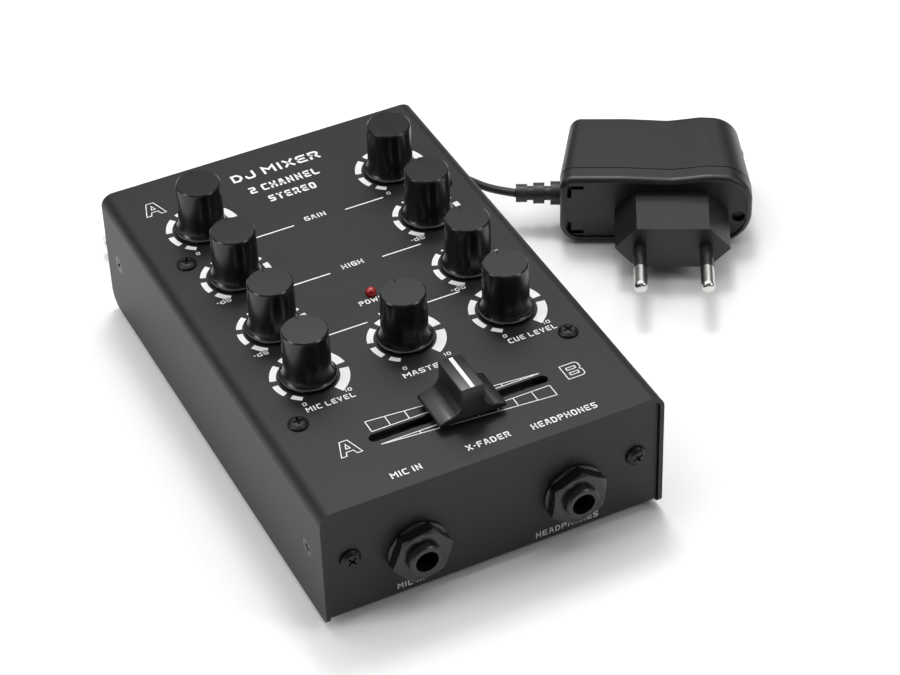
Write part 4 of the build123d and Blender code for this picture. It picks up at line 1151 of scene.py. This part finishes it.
@dataclass
class Lamp:
    """The power lamp: a red dome on its rim."""

    radius: float = 1.48
    rim: float = 1.95
    foot: float = 4.0
    ledge: float = 3.2

    def build(self) -> bpy.types.Object:
        """Build the dome over its CAD node."""
        high = box_mm("power_led")[1]
        centre = middle_of("power_led")
        top = box_mm("top_cover")[1].z
        profile = [(0.0, top - self.foot), (self.rim, top - self.foot), (self.rim, top - self.ledge)]
        profile += [(self.radius, top - self.ledge), (self.radius, top)]
        profile += arc(self.radius, 0.0, math.pi / 2, 10, (0.0, high.z - self.radius))[:-1]
        form = Form()
        form.turn(profile + [(0.0, high.z)], seat((centre.x, centre.y, 0)), 48)
        tag = Tag("power_lamp", CASE, "led_red", ("power_led",))
        return settle(form.draft("lamp"), tag, [Dress.LAMP], 50)


# ------------------------------------------------------------------ fasteners, nuts, feet


class Head(Enum):
    """The shapes of screw heads that the mixer uses: radius, height, and how far they sink."""

    LOW = (2.75, 1.2, 0.0)
    PAN = (2.9, 1.5, 0.0)
    SUNK = (2.6, 0.0, 2.0)


@dataclass
class Screws:
    """One kind of crosshead screw and the seats that it holds."""

    node: str
    head: Head
    seats: list[Seat]
    shank: float = 1.46
    arm: float = 1.5
    width: float = 0.55
    recess: float = 1.0

    def draft(self) -> bpy.types.Object:
        """One head with its crosshead recess, built round its own axis."""
        radius, height, sink = self.head.value
        form = Form()
        if sink:
            rim = [(self.shank, -sink - 2.0, 0.0), (self.shank, -sink * 0.55, 0.1)]
            rim += [(radius - 0.03, -0.08, 0.04), (radius - 0.10, 0.0, 0.05), (1.2, -0.02, 0.0)]
            profile = rounded(rim)
        else:
            rim = [(self.shank, -3.0, 0.0), (self.shank, 0.0, 0.0), (radius - 0.1, 0.0, 0.0)]
            rim += [(radius, 0.15, 0.05), (radius, height * 0.45, 0.45 * height)]
            rim += [(radius * 0.62, height * 0.97, 0.6), (0.8, height, 0.0)]
            profile = rounded(rim, 6)
        form.turn([(0.0, profile[0][1])] + profile + [(0.0, profile[-1][1])], UPRIGHT, 40)
        form.weld()
        tool = Form()
        a, w = self.arm, self.width / 2
        half = [(w, -a), (w, -w), (a, -w), (a, w), (w, w), (w, a)]
        plus = half + [(-x, -y) for x, y in half]
        tool.prism(plus, height - self.recess, height + self.recess, UPRIGHT)
        return cut(form.draft("head"), tool.draft("cross"))

    def build(self) -> bpy.types.Object:
        """Put a screw on every seat, as one piece."""
        made = strewn(f"{self.node} on seats", self.draft(), self.seats, Dress.BLACK_SCREW)
        tag = Tag(f"{self.node}_heads", CASE, "black_screws", (self.node,))
        return settle(made, tag, [Dress.BLACK_SCREW], 28)


@dataclass
class JackNut:
    """The black moulded nut on each front jack: a dished flange behind a chamfered hexagon."""

    flats: float = 15.0
    flange: float = 8.5
    lip: float = 1.0
    neck: float = 4.78
    chamfer: float = 0.75
    sides: int = 72

    def draft(self, height: float) -> bpy.types.Object:
        """One nut, built round its own axis, with its bore."""
        corner = self.flats / math.sqrt(3)
        form = Form()
        form.prism(arc(corner, 0.0, math.tau, 6)[:-1], 0.2, height, UPRIGHT)
        form.soften(0.22, 20.0, 2)
        cone = Form()
        wall = [(0.0, -1.0), (corner + 0.3, -1.0), (corner + 0.3, height - self.chamfer)]
        cone.turn(wall + [(self.flats / 2 - 0.15, height), (0.0, height)], UPRIGHT, self.sides)
        body = cut(form.draft("nut"), cone.draft("chamfer"), "INTERSECT")
        ring = Form()
        skirt = [(0.0, 0.0, 0.0), (self.flange - 0.15, 0.0, 0.1), (self.flange, 0.2, 0.1)]
        skirt += [(self.flange - 0.1, self.lip * 0.7, 0.25), (self.flats / 2 + 0.2, self.lip, 0.4)]
        ring.turn(rounded([*skirt, (0.0, self.lip, 0.0)]), UPRIGHT, self.sides)
        body = cut(body, ring.draft("flange"), "UNION")
        bore = Form()
        through = [(0.0, -1.0), (self.neck, -1.0), (self.neck, height + 1.0), (0.0, height + 1.0)]
        bore.turn(through, UPRIGHT, 64)
        return cut(body, bore.draft("bore"))

    def build(self) -> bpy.types.Object:
        """Put a nut on both jacks, turned as they are in use."""
        low, high = box_mm("jack_nuts")
        x, z = middle_of("headphone_jack").x, middle_of("jack_nuts").z
        seats = [((-x, high.y, z), FRONT_WAY, 9.0), ((x, high.y, z), FRONT_WAY, 24.0)]
        made = strewn("nuts on jacks", self.draft(high.y - low.y), seats, Dress.NUT)
        return settle(made, Tag("front_nuts", CASE, "jack_nuts", ("jack_nuts",)), [Dress.NUT], 24)


@dataclass
class JackThread:
    """The moulded thread on each jack's neck, a ridge that winds round it."""

    radius: float = 4.62
    pitch: float = 0.75
    length: float = 2.2
    ridge: float = 0.16
    inset: float = 0.5

    def build(self) -> bpy.types.Object:
        """Wind the thread on both necks with a tree whose inputs are its sizes."""
        tree = Recipe("jack thread")
        radius, pitch, length, ridge = [tree.size(name) for name in ("Radius", "Pitch", "Length", "Ridge")]
        inputs = {"Resolution": 40, "Rotations": tree.calc("DIVIDE", length, pitch), "Height": length}
        inputs |= {"Start Radius": radius, "End Radius": radius}
        spiral = tree.node("GeometryNodeCurveSpiral", inputs).outputs[0]
        circle = {"Resolution": 5, "Radius": ridge}
        section = tree.node("GeometryNodeCurvePrimitiveCircle", circle).outputs[0]
        swept = {"Curve": spiral, "Profile Curve": section, "Fill Caps": True}
        tree.close(tree.strew(tree.node("GeometryNodeCurveToMesh", swept).outputs[0]), Dress.JACK)
        mouth = box_mm("headphone_jack")[0].y + self.inset
        x, z = middle_of("headphone_jack").x, middle_of("jack_nuts").z
        places = [((side * x, mouth + self.length, z), FRONT_WAY, 40.0) for side in (-1, 1)]
        sizes = {"Radius": self.radius * MM, "Pitch": self.pitch * MM}
        sizes |= {"Length": self.length * MM, "Ridge": self.ridge * MM}
        made = tree.make(seats_mesh(places), sizes)
        return settle(made, Tag("jack_threads", CASE, "jack_plastic"), [Dress.JACK], 60)


@dataclass
class Feet:
    """The four turned rubber feet."""

    radius: float = 5.0
    dimple: Flat = (1.9, 0.6)

    def build(self) -> bpy.types.Object:
        """Put a foot at each corner of the feet's box."""
        low, high = box_mm("rubber_feet")
        radius, height = self.radius, high.z - low.z
        wide, deep = self.dimple
        foot = Form()
        profile = [(0.0, deep, 0.0), (wide, deep, 0.0), (wide, 0.0, 0.1), (radius - 0.3, 0.0, 0.3)]
        profile += [(radius, 0.5, 0.3), (radius - 0.15, height, 0.05), (0.0, height, 0.0)]
        foot.turn(rounded(profile), UPRIGHT, 48)
        spots = [(x, y) for x in (low.x + radius, high.x - radius) for y in (low.y + radius, high.y - radius)]
        seats = [((x, y, low.z), UP_WAY, 0.0) for x, y in spots]
        made = strewn("feet", foot.draft("foot"), seats, Dress.RUBBER)
        return settle(made, Tag("feet_rubber", CASE, "rubber", ("rubber_feet",)), [Dress.RUBBER], 40)


@dataclass
class CaseScrews:
    """The screws that hold the cover: in the top, in both ends and in both sides."""

    panel_out: float = 38.8
    panel_rows: Flat = (34.0, -40.3)
    side_rows: Flat = (-64.8, 64.8)

    def kinds(self) -> list[Screws]:
        """Each kind of screw with its seats, every one stopped at its own turn."""
        side, end, top = box_mm("top_cover")[1].x, box_mm("chassis")[1].y, box_mm("top_cover")[1].z
        low, high = box_mm("end_screws")
        centre = middle_of("end_screws")
        reach = (high.x - low.x) / 2 - Head.PAN.value[0]
        panel, ends, sides = [], [], []
        for s in (-1, 1):
            x = s * self.panel_out
            panel += [((x, y, top), UP_WAY, 20 * x + y) for y in self.panel_rows]
            x = centre.x + s * reach
            ends += [((x, e * end, centre.z), (0, e, 0), 37 * s + 11 * e) for e in (-1, 1)]
            sides += [((s * side, y, centre.z), (s, 0, 0), 25 * s + y) for y in self.side_rows]
        return [
            Screws("panel_screws", Head.LOW, panel),
            Screws("end_screws", Head.PAN, ends),
            Screws("side_screws", Head.SUNK, sides),
        ]

    def build(self) -> None:
        """Put every kind on its seats."""
        for kind in self.kinds():
            kind.build()


# ------------------------------------------------------------------ cord


@dataclass
class SupplyCord:
    """The power supply's cord: out of its relief, behind the mixer, round a tied hank, to its plug."""

    diameter: float = 2.5
    length: float = 1050.0
    exit: Point = (71.55, 53.10, 11.4)
    run: tuple[Point, ...] = (
        (66.2, 58.6, 11.0), (63.8, 67.0, 9.4), (62.8, 77.5, 6.0), (61.8, 87.0, 2.7), (60.9, 94.0, 1.4),
    )
    lead: tuple[Point, ...] = ((14.0, 106.5, 3.3), (4.0, 106.2, 1.6), (-3.5, 103.8, 2.7), (-9.5, 101.0, 4.4))
    centre: Flat = (33.0, 96.5)
    reach: float = 17.8
    fold: float = 3.0
    pinch: float = 1.5
    layers: int = 4
    points: int = 32
    share: float = 0.375
    first_shift: float = 0.42
    later_shift: float = 0.08
    shift: float = 0.05

    def slots(self) -> list[tuple[int, int]]:
        """Each turn's column, 1 outside and 0 inside, and its layer."""
        inside = [(0, layer) for layer in range(self.layers)]
        outside = [(1, layer) for layer in range(self.layers - 1, 0, -1)]
        return [(1, 0), *inside, *outside]

    def turn_point(self, way: float, column: float, layer: float) -> Point:
        """A point of the hank.

        Args:
            way: How far round the turn, from 0 at the right end to 1, counter-clockwise from above.
            column: 1 outside, 0 inside.
            layer: How many diameters off the floor.

        Returns:
            The point, in millimetres.
        """
        wide = self.diameter * (self.fold + 1)
        waist = self.diameter * self.pinch
        step = (way * self.points) % self.points
        inner = self.diameter * (1 - column)
        height = self.diameter * (0.5 + layer)
        eighth = self.points // 8
        angle = math.pi / 2 / eighth
        if step <= eighth or step >= 7 * eighth:
            angle *= step if step <= eighth else step - self.points
            end = 1
        elif 3 * eighth <= step <= 5 * eighth:
            angle *= step - 2 * eighth
            end = -1
        else:
            front = step > self.points / 2
            share = (step - 5 * eighth if front else 3 * eighth - step) / (2 * eighth)
            across = self.reach * (2 * share - 1)
            u = abs(across) / self.reach
            rise = waist + (wide - waist) * u * u * (3 - 2 * u)
            slope = (wide - waist) * 6 * u * (1 - u) / self.reach
            off = rise - inner * math.sqrt(1 + slope * slope)
            return (self.centre[0] + across, self.centre[1] + (-off if front else off), height)
        radius = wide - inner
        x = self.centre[0] + end * self.reach + radius * math.cos(angle)
        return (x, self.centre[1] + radius * math.sin(angle), height)

    def hank(self) -> list[Point]:
        """The hank's control points. Each turn shifts to the next slot within a short part of its way."""
        slots = self.slots()
        points = []
        total = int((len(slots) - 1 + self.share) * self.points)
        for step in range(1, total + 1):
            turn, way = divmod(step, self.points)
            here = slots[turn]
            after = slots[turn + 1] if turn + 1 < len(slots) else here
            change = self.first_shift + self.later_shift * (len(slots) - 2 - turn)
            blend = min(1.0, max(0.0, (way / self.points - change) / self.shift))
            column, layer = [start + (end - start) * blend for start, end in zip(here, after)]
            points.append(self.turn_point(way / self.points, column, layer))
        return points

    def build(self, pieces: list[bpy.types.Object | str]) -> bpy.types.Object:
        """Lay the cord as one smooth spline.

        Args:
            pieces: The separate pieces on it. This argument is not used.

        Returns:
            The cord.
        """
        points = [self.exit, *self.run, *self.hank(), *self.lead]
        curve = bpy.data.curves.new("supply_lead", "CURVE")
        curve.dimensions = "3D"
        curve.bevel_depth = self.diameter / 2 * MM
        curve.bevel_resolution = 4
        curve.resolution_u = 4
        curve.use_fill_caps = True
        spline = curve.splines.new("NURBS")
        spline.points.add(len(points) - 1)
        for spot, point in zip(spline.points, points):
            spot.co = (*[part * MM for part in point], 1.0)
        spline.order_u = 3
        spline.use_endpoint_u = True
        spline.use_smooth = True
        curve.materials.append(PALETTE.get(Dress.JACKET))
        lead = bpy.data.objects.new("supply_lead", curve)
        bpy.context.scene.collection.objects.link(lead)
        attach(lead, CASE)
        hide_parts("supply_cord", "cord_hank")
        return lead


@dataclass
class Tie:
    """The soft band that holds the hank together at its waist."""

    thick: float = 0.6
    round: float = 0.5

    def build(self) -> bpy.types.Object:
        """Build the band as a closed loop with rounded edges."""
        low, high = box_mm("cord_tie")
        wide, thick = (high.x - low.x) / 2, self.thick
        inner = rectangle((low.y + thick, low.z + thick), (high.y - thick, high.z - thick))
        across = Matrix.Rotation(QUARTER, 4, "Z") @ Matrix.Rotation(QUARTER, 4, "X")
        place = Matrix.Translation((middle_of("cord_tie").x, 0, 0)) @ across
        form = Form()
        form.prism(rectangle((low.y, low.z), (high.y, high.z)), -wide, wide, place)
        form.soften(self.round, 40, 2)
        tool = Form()
        tool.prism(inner, -wide - 1, wide + 1, place)
        made = cut(form.draft("tie"), tool.draft("hole"))
        return settle(made, Tag("hank_tie", CASE, "cord_jacket", ("cord_tie",)), [Dress.RUBBER], 40)


# ------------------------------------------------------------------ studio


@dataclass
class Studio:
    """The floor, the lights and the camera."""

    eye: Point = (-230.55, -540.83, 509.77)
    yaw: float = -25.157
    pitch: float = 39.70
    roll: float = -2.012
    lens: float = 112.41
    half_floor: float = 4.0
    room: float = 0.15

    def camera(self) -> None:
        """Stand the camera where the mixer is seen from."""
        yaw, pitch, roll = (math.radians(angle) for angle in (self.yaw, self.pitch, self.roll))
        level = Vector((-math.sin(yaw), math.cos(yaw), 0)) * math.cos(pitch)
        ahead = level - Vector(UP_WAY) * math.sin(pitch)
        right = ahead.cross(Vector(UP_WAY)).normalized()
        up = right.cross(ahead)
        across = right * math.cos(roll) + up * math.sin(roll)
        over = up * math.cos(roll) - right * math.sin(roll)
        camera = bpy.data.cameras.new("camera")
        camera.lens, camera.sensor_width = self.lens, 36.0
        camera.clip_start, camera.clip_end = 0.01, 20.0
        stand = bpy.data.objects.new("camera", camera)
        aim = Matrix((across, over, -ahead)).transposed().to_4x4()
        stand.matrix_world = Matrix.Translation(Vector(self.eye) * MM) @ aim
        bpy.context.scene.collection.objects.link(stand)
        bpy.context.scene.camera = stand

    def floor(self) -> None:
        """Lay a pale floor."""
        made = Shader("floor_paper")
        tone = made.mix(made.noise(60.0, 2.0), (0.93, 0.93, 0.93), (0.95, 0.95, 0.95))
        made.link(tone, "Base Color")
        made.fix(Roughness=0.9, Specular_IOR_Level=0.1)
        mesh = bpy.data.meshes.new("floor")
        outline = rectangle((-self.half_floor, -self.half_floor), (self.half_floor, self.half_floor))
        mesh.from_pydata([(x, y, 0) for x, y in outline], [], [(0, 1, 2, 3)])
        mesh.materials.append(made.material)
        floor = bpy.data.objects.new("floor", mesh)
        bpy.context.scene.collection.objects.link(floor)

    def light(self, name: str, place: Point, target: Point, size: Flat, power: float) -> None:
        """Hang one soft lamp, in metres, aimed at a target."""
        lamp = bpy.data.lights.new(name, "AREA")
        lamp.shape = "RECTANGLE"
        lamp.size, lamp.size_y = size
        lamp.energy = power
        stand = bpy.data.objects.new(name, lamp)
        aim = (Vector(target) - Vector(place)).to_track_quat("-Z", "Y")
        stand.matrix_world = Matrix.Translation(place) @ aim.to_matrix().to_4x4()
        bpy.context.scene.collection.objects.link(stand)

    def build(self) -> None:
        """Set the studio up."""
        self.camera()
        self.floor()
        world = bpy.data.worlds.new("room")
        world.use_nodes = True
        sky = world.node_tree.nodes["Background"]
        sky.inputs["Color"].default_value = (1.0, 1.0, 1.0, 1.0)
        sky.inputs["Strength"].default_value = self.room
        bpy.context.scene.world = world
        self.light("overhead", (0.1, 0.45, 1.4), (0, 0, 0), (2.4, 1.8), 24)
        self.light("rear", (0.22, 0.52, 1.30), (0, 0, 0), (0.3, 0.3), 6)
        self.light("left", (-1.4, 0.1, 0.6), (0, 0, 0), (0.5, 1.0), 10)
        self.light("front", (0.9, -0.9, 0.9), (0, 0, 0), (0.4, 0.6), 4)
        bpy.context.scene.view_settings.view_transform = "Standard"


# ------------------------------------------------------------------ everything

KNOBS = ("gain_a", "gain_b", "high_a", "high_b", "low_a", "low_b", "mic_level", "cue_level", "master_level")
NODE_DRESS: dict[Dress, tuple[str, ...]] = {
    Dress.CASE_PAINT: ("top_cover", "chassis"),
    Dress.JACK: ("mic_jack", "headphone_jack", "phono_bodies", "power_inlet"),
    Dress.SHAFT: tuple(f"shaft_{control}" for control in KNOBS),
    Dress.ZINC: ("corner_brackets", "standoffs", "board_screws"),
    Dress.TINNED: ("crossfader_frame", "switch_bodies"),
    Dress.STEEL: ("crossfader_rails", "inlet_pin"),
    Dress.BOARD_GREEN: ("main_board", "rear_board"),
    Dress.BOARD_BROWN: ("adapter_board",),
    Dress.POT: ("potentiometers",),
    Dress.NATURAL: ("crossfader_carriage",),
    Dress.CONTACT: ("jack_contacts",),
    Dress.SOCKET: ("phono_shells",),
    Dress.INSERT_WHITE: ("phono_inserts_left",),
    Dress.INSERT_RED: ("phono_inserts_right",),
    Dress.CAP: ("switch_slider_a", "switch_slider_b"),
    Dress.SUPPLY: ("adapter_shell", "adapter_cap"),
    Dress.NICKEL: ("adapter_prongs", "plug_barrel"),
    Dress.BLACK_SCREW: ("adapter_screw",),
    Dress.SLEEVE: ("prong_sleeves",),
    Dress.JACKET: ("adapter_relief", "plug_body"),
}


def corners(vector: Vector) -> list[float]:
    """A corner as a plain list."""
    return [float(part) for part in vector]


def main() -> None:
    """Dress the CAD nodes, build every piece and set up the studio."""
    logging.basicConfig(level=logging.INFO, format="%(name)s: %(message)s")
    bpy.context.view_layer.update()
    Studio().build()
    tie = Tie().build()
    cord = SupplyCord().build(["adapter_relief", "plug_body", "plug_barrel", tie])
    log.info("cord has %d points", len(cord.data.splines[0].points))
    for dress, nodes in NODE_DRESS.items():
        for node in nodes:
            PALETTE.dress_node(node, dress)
    TopPrinting().build()
    EndPrinting().build()
    for control in KNOBS:
        Knob(control).build()
    FaderCap().build()
    Lamp().build()
    CaseScrews().build()
    JackNut().build()
    JackThread().build()
    Feet().build()


if __name__ == "__main__":
    main()
